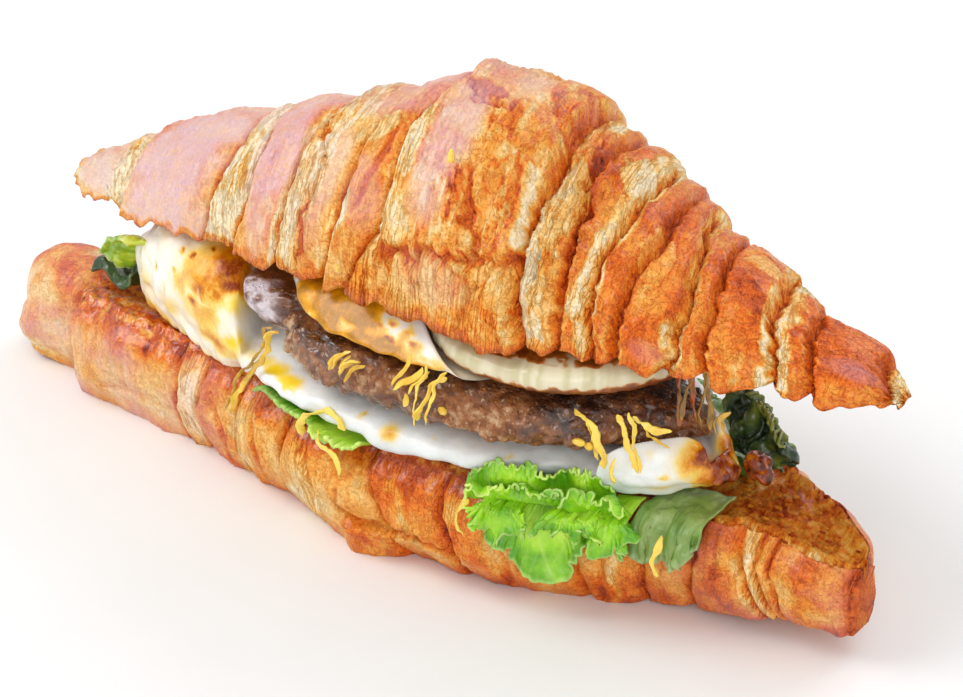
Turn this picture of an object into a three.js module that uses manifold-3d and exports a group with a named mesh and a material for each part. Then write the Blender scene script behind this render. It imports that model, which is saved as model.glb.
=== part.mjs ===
// A croissant cut open and filled with egg, meat patty, onion, lettuce and cheese shreds.
// Millimetres, +Z up, X along the croissant, the open front towards -Y.
import * as THREE from 'three';
import { mergeVertices } from 'three/addons/utils/BufferGeometryUtils.js';
import Module from 'manifold-3d';

const wasm = await Module();
wasm.setup();

// Main sizes
const RIM = 19.5; // height of the cut face above the table
const STACK = 27; // filling between the two cut faces
const CROWN = 30; // height of the upper half above its own cut face
const GAP = 0.35; // clearance between neighbours
const SPACE = 0.6; // how much wider the hollow is that a piece leaves in its neighbour
const EGG_THICK = 6.6;
const PATTY_THICK = 10;
const ONION_THICK = 6.8;
const LEAF_THICK = 0.8;
const SHRED_THICK = 1.4;
const CENTRE = [0.75, 2.46]; // moves the middle of the whole outline to the origin

// Levels of the filling, from the bottom cut face up
const LEAF_LEVEL = RIM + 1;
const EGG_LOW = RIM + 2.3;
const EGG_TOP = EGG_LOW + EGG_THICK;
const PATTY_LOW = EGG_TOP + GAP;
const PATTY_TOP = PATTY_LOW + PATTY_THICK;
const ONION_LOW = PATTY_TOP + GAP;
const LID_LOW = RIM + STACK;

const COLOURS = {
  crust: [0xc8843c, 0.5],
  egg: [0xf4f1e2, 0.35],
  golden: [0xd9a441, 0.35],
  patty: [0x8d6440, 0.6],
  onion: [0xd8cda6, 0.3],
  leaf: [0x7fb82c, 0.45],
  darkLeaf: [0x4f7a24, 0.5],
  cheese: [0xe8bd3e, 0.4],
  browned: [0x6b2a12, 0.35],
};

const clamp = (x, low = 0, high = 1) => Math.min(high, Math.max(low, x));
const smooth = (a, b, x) => {
  const t = clamp((x - a) / (b - a));
  return t * t * (3 - 2 * t);
};
const bump = (x, middle, half) => Math.exp(-(((x - middle) / half) ** 2));
const power = (x, n) => Math.sign(x) * Math.abs(x) ** n;

// A smooth curve through [position, value] knots that never overshoots them
function profile(knots) {
  const last = knots.length - 1;
  const slope = knots.slice(1).map(([x, y], i) => (y - knots[i][1]) / (x - knots[i][0]));
  const tangent = knots.map((_, i) => {
    if (i === 0 || i === last) return 0.7 * slope[i === 0 ? 0 : last - 1];
    const [a, b] = [slope[i - 1], slope[i]];
    return a * b <= 0 ? 0 : (2 * a * b) / (a + b);
  });
  return (x) => {
    const at = clamp(x, knots[0][0], knots[last][0]);
    let i = 0;
    while (i < last - 1 && at > knots[i + 1][0]) i += 1;
    const [x0, y0] = knots[i];
    const [x1, y1] = knots[i + 1];
    const t = (at - x0) / (x1 - x0);
    const rise = (1 + 2 * t) * (1 - t) ** 2 * y0 + t * t * (3 - 2 * t) * y1;
    return rise + (x1 - x0) * (t * (1 - t) ** 2 * tangent[i] + t * t * (t - 1) * tangent[i + 1]);
  };
}

// Smooth unevenness between -1 and 1, from a few waves that don't repeat together
const uneven = (a, b, c = 0) =>
  (Math.sin(1.7 * a + 0.6 * b + c) + Math.sin(0.8 * a - 1.9 * b + 2.3 * c)
    + Math.sin(2.9 * a + 2.3 * b - c)) / 3;

// A closed body from rings of equally many points, with a fan at each end
function bodyFromRings(rings) {
  const size = rings[0].length;
  const middle = (ring) => ring.reduce((sum, p) => sum.add(p), new THREE.Vector3()).divideScalar(size);
  const points = [...rings.flat(), middle(rings[0]), middle(rings[rings.length - 1])];
  const faces = [];
  for (let i = 0; i < rings.length - 1; i += 1) {
    for (let j = 0; j < size; j += 1) {
      const [a, b] = [i * size + j, i * size + ((j + 1) % size)];
      faces.push(a, b, b + size, a, b + size, a + size);
    }
  }
  const end = (rings.length - 1) * size;
  for (let j = 0; j < size; j += 1) {
    const next = (j + 1) % size;
    faces.push(next, j, rings.length * size, end + j, end + next, rings.length * size + 1);
  }
  const geometry = new THREE.BufferGeometry();
  geometry.setAttribute('position', new THREE.Float32BufferAttribute(points.flatMap((p) => p.toArray()), 3));
  geometry.setIndex(faces);
  return facingOut(geometry);
}

// Turns every face round where the signed volume is negative
function facingOut(geometry) {
  const p = geometry.attributes.position;
  const index = geometry.index.array;
  const [a, b, c] = [new THREE.Vector3(), new THREE.Vector3(), new THREE.Vector3()];
  let volume = 0;
  for (let i = 0; i < index.length; i += 3) {
    a.fromBufferAttribute(p, index[i]);
    b.fromBufferAttribute(p, index[i + 1]);
    c.fromBufferAttribute(p, index[i + 2]);
    volume += a.dot(b.cross(c));
  }
  if (volume < 0) {
    for (let i = 0; i < index.length; i += 3) [index[i], index[i + 1]] = [index[i + 1], index[i]];
  }
  return geometry;
}

function toSolid(geometry) {
  const merged = mergeVertices(geometry, 1e-5);
  return new wasm.Manifold(new wasm.Mesh({
    numProp: 3,
    vertProperties: Float32Array.from(merged.attributes.position.array),
    triVerts: Uint32Array.from(merged.index.array),
  }));
}

// The largest piece of a solid, so that a cut leaves no loose scrap
function toGeometry(solid) {
  const pieces = solid.decompose();
  const largest = pieces.reduce((best, piece) => (piece.volume() > best.volume() ? piece : best));
  const mesh = largest.getMesh();
  const geometry = new THREE.BufferGeometry();
  geometry.setAttribute('position', new THREE.Float32BufferAttribute(mesh.vertProperties, 3));
  geometry.setIndex(Array.from(mesh.triVerts));
  return geometry;
}

const cut = (geometry, ...others) =>
  toGeometry(others.reduce((solid, other) => solid.subtract(toSolid(other)), toSolid(geometry)));
const join = (geometry, ...others) =>
  toGeometry(others.reduce((solid, other) => solid.add(toSolid(other)), toSolid(geometry)));

// Layers of rolled dough: each band swells from under its inner neighbour and ends in a steep edge
function bandRelief(edges, middle) {
  return (x) => {
    const k = clamp(edges.findIndex((edge) => edge[0] > x) - 1, 0, edges.length - 2);
    const [from, depth] = edges[k];
    const to = edges[k + 1][0];
    const t = clamp((x - from) / (to - from));
    if (k === middle) return depth * Math.sin(Math.PI * t) ** 0.4;
    const outward = k < middle ? 1 - t : t;
    return depth * Math.sin(Math.PI * outward ** 1.5) ** 0.75;
  };
}

// Stations along the roll: several to a band, so that each edge stays sharp
function bandStations(edges, middle, steps) {
  const stations = [];
  for (let k = 0; k < edges.length - 1; k += 1) {
    const [from, to] = [edges[k][0], edges[k + 1][0]];
    const inner = k === middle ? [0, 0.08, 0.25, 0.5, 0.75, 0.92] : steps;
    inner.forEach((t) => stations.push(from + (to - from) * t));
  }
  stations.push(edges[edges.length - 1][0]);
  return stations;
}

// Lower half: [edge position, depth] of each dough band, then the outlines
const BOTTOM_BANDS = [
  [-92, 0.8], [-73, 0.3], [-70.5, 1.6], [-41, 1.5], [-35, 1.7], [-24.5, 1.5], [-11.5, 2], [12, 1.3],
  [24, 1.4], [45, 1.4], [55, 1.3], [62.5, 1.1], [74, 1.3], [85.5, 0.5], [88.8, 0.2],
];
const bottomMiddle = 6;
const bottomHalf = profile([
  [-94, 2.5], [-91, 6.5], [-86, 9.5], [-79, 9.6], [-74, 9.8], [-70, 15], [-63, 17.5], [-48, 19.5],
  [-36, 20], [-22, 23], [-6, 26.3], [10, 28.2], [25, 27.3], [35, 24.5], [47, 19.6], [60, 14.2],
  [68, 12.2], [76, 10.2], [85, 6.6], [88.8, 4.2],
]);
const bottomMid = profile([
  [-94, -4], [-78, -3], [-60, 0], [0, -0.4], [56, -0.5], [72, -1.6], [82, -3.6], [90, -6],
]);
const bottomRim = profile([
  [-94, 9], [-88, 12], [-76, 13], [-70, RIM - 0.7], [-40, RIM], [60, RIM], [80, 18.2], [90, 16.2],
]);
const knob = (x) => 1 - smooth(-76, -70.5, x);
const bottomRelief = bandRelief(BOTTOM_BANDS, bottomMiddle);
const bottomFront = (x) => bottomMid(x) - bottomHalf(x);
const bottomBack = (x) => bottomMid(x) + bottomHalf(x);
const foldedEnd = (x) => bump(x, 5, 9); // the dough's tail, tucked under the front edge
const bottomLift = (x) => 5 * smooth(46, 92, x) + 2.5 * smooth(-78, -93, x); // both tips rise off the table

function bottomRing(x) {
  const [w, mid, rim, lift] = [bottomHalf(x), bottomMid(x), bottomRim(x), bottomLift(x)];
  const side = [0, 0.16, 0.36, 0.58, 0.78, 0.93];
  const frontBase = 0.14 * foldedEnd(x) + 0.09 * smooth(-14, -34, x);
  const base = (front) => 0.84 - 0.14 * smooth(60, 88, x) + front * frontBase;
  const wall = (a, direction) => {
    const front = direction < 0 ? 1 : 0;
    const tuck = 0.985 + 0.07 * Math.sin(Math.PI * a) - (1 - base(front)) * a ** 3;
    const groove = 1.5 * front * foldedEnd(x) * bump(a, 0.62, 0.12);
    const out = bottomRelief(x) * (0.55 + 0.45 * Math.sin(Math.PI * clamp(a * 1.2))) - groove;
    const wave = 0.5 * uneven(x * 0.16, a * 4, direction);
    return new THREE.Vector3(x, mid + direction * (w * tuck + out + wave), lift + (rim - lift) * (1 - a));
  };
  const under = [-1, -0.35, 0.35, 1].map((s) => {
    const front = s < 0 ? 1 : 0;
    return new THREE.Vector3(x, mid + s * w * base(front), lift);
  });
  const top = [0.8, 0.4, 0, -0.4, -0.8].map((s) => {
    const dome = knob(x) * 7.5 * Math.sqrt(1 - s * s * 0.95);
    const crumb = (1 - knob(x)) * (0.25 * uneven(x * 0.35, s * 3) - 0.5 * (1 - s * s));
    return new THREE.Vector3(x, mid + s * w, rim + dome + crumb);
  });
  return [
    ...side.map((a) => wall(a, -1)), ...under, ...side.slice().reverse().map((a) => wall(a, 1)), ...top,
  ];
}

function bottomBun() {
  return bodyFromRings(bandStations(BOTTOM_BANDS, bottomMiddle, [0, 0.2, 0.65]).map(bottomRing));
}

// Upper half: its bands lean, so a band meets the crown further left than the front edge
const LID_BANDS = [
  [-83, 0.8], [-58, 2.4], [-31, 1.8], [-22.5, 1.9], [-13, 2], [-1, 2.2], [11, 3], [36.5, 1.6], [42, 1.8],
  [48, 1.9], [52.5, 2.4], [60, 1.5], [64.5, 2.1], [74, 1.4], [78, 1.9], [88, 0.5], [90.5, 0.3],
];
const lidMiddle = 6;
const lidHalf = profile([
  [-83, 1.5], [-76, 6.2], [-70, 9], [-57, 14.4], [-41, 17.3], [-18, 22.3], [-2, 24.4], [13, 25.4],
  [32, 26.4], [41, 23.6], [50, 19.8], [63, 15], [71.5, 10.2], [84, 5.4], [90.5, 1.6],
]);
const lidBase = profile([
  [-83, 35.6], [-57, 40], [-40, 42.3], [-15, 45], [10, LID_LOW + 0.3], [40, LID_LOW + 0.3], [60, 45.4],
  [75, 44], [92, 43.2],
]);
const lidCrown = profile([
  [-83, 1.6], [-76, 4.6], [-66, 7.4], [-50, 11.2], [-35, 15.6], [-18, 20], [-5, 23], [8, CROWN - 2],
  [20, 27], [32, 21.4], [45, 13.8], [58, 9.2], [70, 6.8], [82, 4.8], [90.5, 1.4],
]);
const lidRelief = bandRelief(LID_BANDS, lidMiddle);
const lidLean = (x) => 6.3 * (1 - (Math.abs(x) / 93) ** 8) * clamp(lidHalf(x) / 10);

function lidRing(station) {
  const fall = 15;
  const arc = Array.from({ length: fall }, (_, i) => {
    const angle = (Math.PI * i) / (fall - 1);
    const x = station - lidLean(station) * (1 - Math.cos(angle));
    const out = lidRelief(station) + 0.5 * uneven(station * 0.2, angle * 1.6, 1);
    const notch = 1.1 * uneven(station * 0.45, 2, 4) * Math.exp(-6 * Math.sin(angle));
    const across = -(lidHalf(x) + out) * Math.cos(angle);
    return new THREE.Vector3(x, across, lidBase(x) + notch + (lidCrown(x) + out) * Math.sin(angle) ** 0.88);
  });
  const [front, back] = [arc[0], arc[fall - 1]];
  const face = [0.2, 0.5, 0.8].map((t) => {
    const p = back.clone().lerp(front, t);
    p.z = Math.max(p.z, lidBase(p.x) + 0.8);
    return p;
  });
  return [...arc, ...face];
}

function topBun() {
  return bodyFromRings(bandStations(LID_BANDS, lidMiddle, [0, 0.18, 0.6]).map(lidRing));
}

// A filling with rounded sides: outlines front and back, levels low and high, all along x
function filling({ from, to, front, back, low, high, steps = 20, around = 16, square = 3, rough = 0.3,
  seed = 0 }) {
  const rings = Array.from({ length: steps + 1 }, (_, i) => {
    const s = -Math.cos((Math.PI * (i + 0.35)) / (steps + 0.7));
    const x = (from + to) / 2 + (s * (to - from)) / 2;
    const round = (1 - Math.abs(s) ** 5) ** 0.4; // closes the ends
    return Array.from({ length: around }, (__, j) => {
      const angle = (2 * Math.PI * j) / around;
      const across = power(Math.cos(angle), 2 / square);
      const up = power(Math.sin(angle), 2 / square);
      const y = (front(x) + back(x)) / 2 + (across * (back(x) - front(x)) / 2 - rough * (1 - Math.abs(up))
        * uneven(x * 0.4, angle * 2, seed)) * (0.35 + 0.65 * round);
      const [z0, z1] = [low(x, y), high(x, y)];
      return new THREE.Vector3(x, y, (z0 + z1) / 2 + (up * round * (z1 - z0)) / 2);
    });
  });
  return bodyFromRings(rings);
}

const level = (z) => () => z;

// Fried egg: a thick folded lobe on the left, a thin band under the meat, a crisp lobe on the right
const eggFront = profile([
  [-62, -10], [-57, -15.5], [-47, -19.8], [-33, -23.5], [-20, -25], [-8, -27.2], [5, -28.6], [20, -28.8],
  [33, -26.5], [43, -21.5], [50, -20], [56, -17.5], [61, -14], [65.5, -9],
]);
const eggBack = profile([[-62, -3], [-50, 9], [-36, 15], [-12, 21], [15, 24.5], [35, 21], [50, 12],
  [59, 2], [65.5, -3]]);
function eggShape(x) {
  const lobe = 14.5 * (1 - smooth(-31, -13, x)) * (0.6 + 0.4 * smooth(-61, -46, x));
  const crisp = 3.2 * smooth(47, 54, x) * (1 - smooth(64, 68, x));
  return lobe + crisp;
}

const pattyFrontEdge = profile([
  [-15, -21.5], [-12, -25.5], [-5, -29.3], [6, -30.6], [20, -30.8], [33, -29.8], [43, -25.8], [51, -20.5],
  [58, -15], [61, -10],
]);
const pattyBackEdge = profile([[-15, -17], [0, -6], [20, 1], [40, 3], [55, -2], [61, -7]]);

function meatFront(extra = 0) {
  return filling({
    from: -15.5 - extra, to: 61.5 + extra,
    front: (x) => pattyFrontEdge(x) - extra, back: (x) => pattyBackEdge(x) + extra,
    low: level(PATTY_LOW - extra), high: (x) => PATTY_TOP - 1.6 * smooth(46, 62, x) + extra,
    steps: 22, around: 14, square: 2.9, rough: 0.7, seed: 3,
  });
}

// A second patty lies slantwise behind the first, its cut end showing at the left
function meatBack(extra = 0) {
  const turn = new THREE.Matrix4().makeRotationZ(THREE.MathUtils.degToRad(25)).setPosition(12, -2.5, 0);
  const shape = filling({
    from: -37 - extra, to: 36 + extra,
    front: (x) => -9.5 + 2 * smooth(20, 36, x) - extra, back: (x) => 11 - 3 * smooth(15, 36, x) + extra,
    low: (x) => PATTY_LOW + 2.2 * (1 - smooth(-36, -20, x)) - extra,
    high: (x) => PATTY_TOP + 2.6 * (1 - smooth(-34, -8, x)) + extra,
    steps: 14, around: 14, square: 3.4, rough: 0.5, seed: 7,
  });
  const p = shape.attributes.position;
  for (let i = 0; i < p.count; i += 1) {
    // the cut end leans out at the top
    const end = 1 - smooth(-38, -24, p.getX(i));
    p.setX(i, p.getX(i) - end * 0.7 * (p.getZ(i) - PATTY_LOW - 6));
  }
  return shape.applyMatrix4(turn);
}

const ONION = { x: 33, y: -4, rx: 23.6, ry: 24.4 };
function onionSlice(extra = 0) {
  const half = (x) => {
    const across = Math.abs(x - ONION.x) / (ONION.rx + 0.4);
    return ONION.ry * Math.sqrt(Math.max(0.02, 1 - across ** 2.2)) + extra;
  };
  return filling({
    from: ONION.x - ONION.rx - extra, to: ONION.x + ONION.rx + extra,
    front: (x) => ONION.y - half(x), back: (x) => ONION.y + half(x),
    low: level(ONION_LOW - extra), high: (x) => ONION_LOW + ONION_THICK - 1.2 * smooth(46, 57, x) + extra,
    steps: 18, around: 16, square: 3.2, rough: 0.25, seed: 5,
  });
}

// A golden flap of egg on top of the meat, left of the onion
function eggFlap() {
  return filling({
    from: -14, to: 34, front: profile([[-14, -22], [-5, -27.3], [8, -29.6], [24, -29.6], [34, -27]]),
    back: profile([[-14, -12], [0, -2], [20, 6], [34, 4]]), low: level(ONION_LOW),
    high: (x, y) => ONION_LOW + 1.2 + (lidBase(x) - 1.2 - ONION_LOW) * 0.86 * smooth(-32, -23, y),
    steps: 14, around: 14, square: 2.6, rough: 0.5, seed: 9,
  });
}

// A leaf: a thin wavy sheet from a surface function, both faces with the same triangles
function leaf(surface, across, along, thick = LEAF_THICK) {
  const grid = [];
  const step = 1e-3;
  for (let i = 0; i <= across; i += 1) {
    for (let j = 0; j <= along; j += 1) {
      const [u, v] = [i / across, j / along];
      const p = surface(u, v);
      const du = surface(u + step, v).sub(surface(u - step, v));
      const dv = surface(u, v + step).sub(surface(u, v - step));
      const normal = du.cross(dv).normalize().multiplyScalar(thick / 2);
      grid.push([p.clone().add(normal), p.clone().sub(normal)]);
    }
  }
  const count = grid.length;
  const points = [...grid.map((g) => g[0]), ...grid.map((g) => g[1])];
  const at = (i, j) => i * (along + 1) + j;
  const faces = [];
  for (let i = 0; i < across; i += 1) {
    for (let j = 0; j < along; j += 1) {
      const [a, b, c, d] = [at(i, j), at(i + 1, j), at(i + 1, j + 1), at(i, j + 1)];
      faces.push(a, b, c, a, c, d, b + count, a + count, c + count, c + count, a + count, d + count);
    }
  }
  const border = [];
  for (let i = 0; i < across; i += 1) {
    border.push([at(i + 1, 0), at(i, 0)], [at(i, along), at(i + 1, along)]);
  }
  for (let j = 0; j < along; j += 1) {
    border.push([at(0, j), at(0, j + 1)], [at(across, j + 1), at(across, j)]);
  }
  border.forEach(([a, b]) => faces.push(a, b, b + count, a, b + count, a + count));
  const geometry = new THREE.BufferGeometry();
  geometry.setAttribute('position', new THREE.Float32BufferAttribute(points.flatMap((p) => p.toArray()), 3));
  geometry.setIndex(faces);
  return facingOut(geometry);
}

// Where a leaf that lies on the cut face goes over the edge and hangs: t runs from inside to the tip
function overTheEdge(x, t, { edge, side, inside, hang, stand, ruffle, waves, seed }) {
  const flat = inside / (inside + hang);
  const out = clamp((t - flat) / (1 - flat));
  const path = t < flat ? (t / flat - 1) * inside : 0;
  const wave = Math.sin(waves * x + seed) + 0.5 * Math.sin(2.3 * waves * x + 2 * seed);
  const puff = ruffle * out ** 1.2 * (1.1 + wave);
  const y = edge(x) + side * (path + stand * smooth(0, 0.2, out) + puff);
  const z = LEAF_LEVEL - hang * out ** 1.3 + 0.6 * ruffle * wave * out * (1 - out);
  return new THREE.Vector3(x + 0.8 * ruffle * out * Math.cos(waves * x + seed), y, z);
}

// A lobe of leaf: a short stem passes under the egg, then it fans out and hangs before the wall in folds.
// The outline gives how far it reaches at each angle from straight down, in degrees.
function lobe({ x: middle, z: top, stem, outline, off, fold, folds, seed }) {
  const reach = profile(outline);
  return (u, v) => {
    const degrees = -86 + 172 * u;
    const angle = THREE.MathUtils.degToRad(degrees);
    const out = clamp((v - 0.15) / 0.85);
    const r = out * reach(degrees);
    const x = middle + stem * (2 * u - 1) * (1 - out) + r * Math.sin(angle);
    const inside = 1.2;
    const away = (off + inside) * smooth(0, 0.3, v) - inside;
    const wave = fold * out ** 2 * (1 + Math.sin(folds * angle + seed));
    return new THREE.Vector3(x, bottomFront(x) - away - wave, top - r * Math.cos(angle));
  };
}

const LOBE_TOP = LEAF_LEVEL + 0.55;
const MAIN_LOBE = {
  x: 41, z: LOBE_TOP, stem: 5, off: 4.4, fold: 0.7, folds: 9, seed: 1,
  outline: [[-86, 8], [-55, 9.2], [-42, 10], [-25, 10], [-14, 11.6], [-3, 12.4], [7, 14.6], [21, 15.6],
    [30, 12.4], [45, 10.1], [65, 9], [86, 8]],
};
const RIGHT_LOBE = {
  x: 52.5, z: LOBE_TOP, stem: 2, off: 6, fold: 0.5, folds: 6, seed: 3,
  outline: [[-86, 2.5], [-28, 4.6], [-16, 7.6], [5, 8.2], [14, 6.2], [40, 6.2], [86, 3.4]],
};
const UPPER_LOBE = {
  x: 47.2, z: LOBE_TOP, stem: 3, off: 6.6, fold: 0.6, folds: 8, seed: 5,
  outline: [[-86, 5], [-50, 5.2], [-20, 4.6], [5, 3.6], [30, 5], [86, 4.5]],
};

function frontLeaf() {
  const frill = leaf((u, v) => {
    const x = 29.8 + 22 * u;
    const wave = Math.sin(1.1 * x) + 0.5 * Math.sin(2.7 * x + 1);
    const y = bottomFront(x) - 1.2 + 2.2 * (1 - v) - 1.3 * v * (1.4 + wave) - 1.2 * smooth(0.3, 0, u);
    const high = 6 + 1.2 * wave - 2.4 * smooth(0.7, 1, u);
    return new THREE.Vector3(x + 0.8 * v * wave, y, LEAF_LEVEL + 0.05 + v * high);
  }, 14, 3);
  const lobes = [leaf(lobe(MAIN_LOBE), 16, 6), leaf(lobe(RIGHT_LOBE), 8, 6), leaf(lobe(UPPER_LOBE), 9, 5)];
  return join(frill, ...lobes);
}

function rightLeaf() {
  const reach = profile([[0, 5.5], [0.2, 8], [0.5, 7.4], [0.8, 6.8], [1, 4]]);
  return leaf((u, v) => overTheEdge(55 + 10.4 * u, v, {
    edge: bottomFront, side: -1, inside: 8, hang: reach(u), stand: 3.3, ruffle: 0.6, waves: 0.9, seed: 2.5,
  }), 12, 8);
}

function middleLeaf() {
  return leaf((u, v) => {
    const x = -18.5 + 27 * u;
    const s = 2 * v - 1;
    const width = (bottomHalf(x) + 1.2) * Math.abs(s) ** 0.9;
    const frill = smooth(0.86, 1, Math.abs(s));
    const wave = Math.sin(1.2 * x + 3 * Math.sign(s)) + 0.5 * Math.sin(2.5 * x);
    const y = bottomMid(x) + Math.sign(s) * (width + frill * (0.8 + 0.4 * wave));
    return new THREE.Vector3(x, y, LEAF_LEVEL + frill * (0.9 + 0.7 * wave));
  }, 15, 10);
}

// A pale rib of leaf leans out at the left, with torn dark bits at its foot
function leftLeaf() {
  return leaf((u, v) => {
    const fan = u - 0.5;
    const fold = Math.sin(7.5 * u + 2 * v);
    const x = -58.5 - 11 * v + 3 * fan;
    const y = -12 + 7 * v + 9 * fan * (0.6 + 0.4 * v);
    return new THREE.Vector3(x, y, 36.2 - 7.5 * v * Math.abs(v) + 3.4 * fan + 1.2 * fold * (0.4 + v));
  }, 10, 7, 1.1);
}

function leftBits() {
  return leaf((u, v) => {
    const x = -70 + 8.4 * u;
    const y = -11.5 + 11 * v;
    return new THREE.Vector3(x, y, LEAF_LEVEL + 2.3 + 1.5 * Math.sin(6 * u + 3 * v) + 1.1 * Math.sin(9 * v));
  }, 7, 6);
}

function backLeaf() {
  return leaf((u, v) => overTheEdge(39 + 27 * u, v, {
    edge: bottomBack, side: 1, inside: 12, hang: 8 + 3 * Math.sin(5 * u), stand: 3.8,
    ruffle: 1.4, waves: 1, seed: 4,
  }), 16, 8);
}

// A dark curl of leaf stands behind the crisp end of the egg
function darkCurl() {
  return leaf((u, v) => {
    const x = 56 + 13 * u + 1.2 * Math.sin(9 * v + 4 * u);
    const y = 3.4 + 5.4 * (1 - u) * v + 1.4 * Math.sin(8 * u + 3 * v);
    return new THREE.Vector3(x, y, LEAF_LEVEL + 0.9 + (13 - 6 * u) * v + 0.9 * Math.sin(11 * u) * v);
  }, 10, 6);
}

// A cheese shred: a small rounded bar along a curve through a few points
function shred(points, thick = SHRED_THICK) {
  const curve = new THREE.CatmullRomCurve3(points.map((p) => new THREE.Vector3(...p)));
  const steps = Math.ceil(points.length * 1.5);
  const sides = 4;
  const frames = curve.computeFrenetFrames(steps, false);
  const rings = Array.from({ length: steps + 1 }, (_, i) => {
    const t = i / steps;
    const taper = 0.5 * thick * (0.72 + 0.28 * Math.sqrt(Math.sin(Math.PI * clamp(t, 0.02, 0.98))));
    return Array.from({ length: sides }, (__, j) => {
      const angle = (2 * Math.PI * j) / sides;
      const p = curve.getPointAt(t);
      p.addScaledVector(frames.normals[i], taper * Math.cos(angle));
      return p.addScaledVector(frames.binormals[i], 0.75 * taper * Math.sin(angle));
    });
  });
  return bodyFromRings(rings);
}

// Cheese shreds, each through a few points placed by eye in front of what it lies on
const SHREDS = [
  [[-9.5, -29.3, 36.9], [-12.3, -28.1, 34.8], [-13, -27.9, 31.8], [-16.2, -27.4, 27.2], [-19.6, -27.6, 22.4],
    [-22.4, -27.5, 16]],
  [[-4.2, -30.2, 19], [-4.7, -30, 21.5], [-2.2, -30.1, 24.1], [1.2, -30.3, 25.9], [3.4, -30.7, 26.1],
    [6.5, -31.4, 24.6]],
  [[0.4, -31.2, 22.4], [0.8, -31.9, 20.1], [4.8, -32.6, 19.4], [6.3, -32.8, 16.6]],
  [[9.4, -31, 38], [7.9, -31.4, 37.4], [6.6, -32, 36.2], [5.9, -32.4, 35]],
  [[6, -30.6, 38], [4.8, -31.5, 37], [3.8, -32.2, 35.2]],
  [[22.4, -31.2, 41.2], [21.1, -31.5, 39], [18.6, -32, 37.6], [17.6, -32.6, 36.4]],
  [[20.9, -33.1, 36.8], [21, -33.3, 35.6], [20.3, -33.2, 34.2]],
  [[26.9, -31, 40.6], [24.3, -31.6, 38.4], [23.7, -32.4, 36.6], [22.6, -32.9, 34.5], [22, -32.9, 32.2]],
  [[48, -23.6, 37.6], [49.6, -23.8, 36], [50.3, -23.2, 33.4], [50.8, -22.6, 30.6], [51, -22.5, 28.6]],
  [[52.3, -21, 38.2], [53.9, -20.6, 35.6], [55.2, -19.6, 32.6], [57.2, -18.4, 29.4]],
  [[53.3, -21.2, 31.4], [53, -21.4, 29], [53.2, -21.2, 26.8]],
  [[55.4, -19.3, 36.8], [57.1, -18, 35.6], [59.4, -15.8, 35.4]],
  [[58.7, -14.2, 42.8], [59, -14.2, 39.3], [59.9, -14.8, 35.8]],
  [[60.3, -12.8, 42.4], [60.7, -12.7, 39], [61.8, -13.2, 36.4]],
  [[61.9, -10.2, 41], [62.8, -11, 37.4], [63.4, -11.4, 34.6]],
  [[66, -10.4, 38.4], [64.8, -11.4, 37.2], [65.6, -12, 35.6]],
  [[32.4, -32.6, 21.2], [30.4, -32.2, 19.4], [29.6, -31.8, 15.6], [30.6, -31.6, 13.4]],
  [[61.4, -21.4, 19.6], [61, -21.6, 17.4], [60.2, -21.8, 14.8], [60.9, -21.3, 11.8]],
];

function brownedBit() {
  const ball = new THREE.IcosahedronGeometry(1, 2);
  ball.deleteAttribute('normal');
  ball.deleteAttribute('uv');
  const geometry = mergeVertices(ball, 1e-4);
  const p = geometry.attributes.position;
  for (let i = 0; i < p.count; i += 1) {
    const v = new THREE.Vector3().fromBufferAttribute(p, i);
    const size = 1 + 0.16 * uneven(3 * v.x + 2 * v.z, 3 * v.y, 2);
    p.setXYZ(i, 68.2 + 2.4 * size * v.x, -4.2 + 2.2 * size * v.y, RIM + 6.6 + 2.6 * size * v.z);
  }
  return geometry;
}

const egg = filling({
  from: -61.5, to: 65, front: (x) => eggFront(x), back: (x) => eggBack(x),
  low: (x) => EGG_LOW - 1.5 * (1 - smooth(-27, -19, x)) - 1.4 * bump(x, 14, 4),
  high: (x) => EGG_TOP + eggShape(x),
  steps: 32, around: 14, square: 2.8, rough: 0.7, seed: 2,
});

const spaces = [meatFront(SPACE), meatBack(SPACE), onionSlice(SPACE)];
const PIECES = [
  ['bottom_bun', bottomBun(), 'crust'],
  ['egg', cut(egg, spaces[0], spaces[1]), 'egg'],
  ['patty_front', meatFront(), 'patty'],
  ['patty_back', cut(meatBack(), spaces[0]), 'patty'],
  ['egg_flap', cut(eggFlap(), spaces[1], spaces[2]), 'golden'],
  ['onion_slice', onionSlice(), 'onion'],
  ['lettuce_front', frontLeaf(), 'leaf'],
  ['lettuce_right', rightLeaf(), 'leaf'],
  ['lettuce_middle', middleLeaf(), 'leaf'],
  ['lettuce_left', leftLeaf(), 'leaf'],
  ['lettuce_bits', leftBits(), 'darkLeaf'],
  ['lettuce_back', backLeaf(), 'leaf'],
  ['lettuce_curl', darkCurl(), 'darkLeaf'],
  ['browned_bit', brownedBit(), 'browned'],
  ['top_bun', topBun(), 'crust'],
];
SHREDS.forEach((points, i) => {
  const number = String(i + 1).padStart(2, '0');
  PIECES.push([`cheese_${number}`, shred(points), 'cheese']);
});

const croissant = new THREE.Group();
croissant.position.set(CENTRE[0], CENTRE[1], 0);
PIECES.forEach(([name, geometry, look]) => {
  const [colour, roughness] = COLOURS[look];
  const material = new THREE.MeshStandardMaterial({ color: colour, roughness, metalness: 0 });
  const mesh = new THREE.Mesh(geometry, material);
  mesh.name = name;
  croissant.add(mesh);
});

export default croissant;
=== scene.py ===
"""A cut croissant filled with fried egg, two meat patties, onion, lettuce and cheese shreds.

Every shape is worked out in millimetres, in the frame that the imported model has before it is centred.
"""

import itertools
import math

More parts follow.
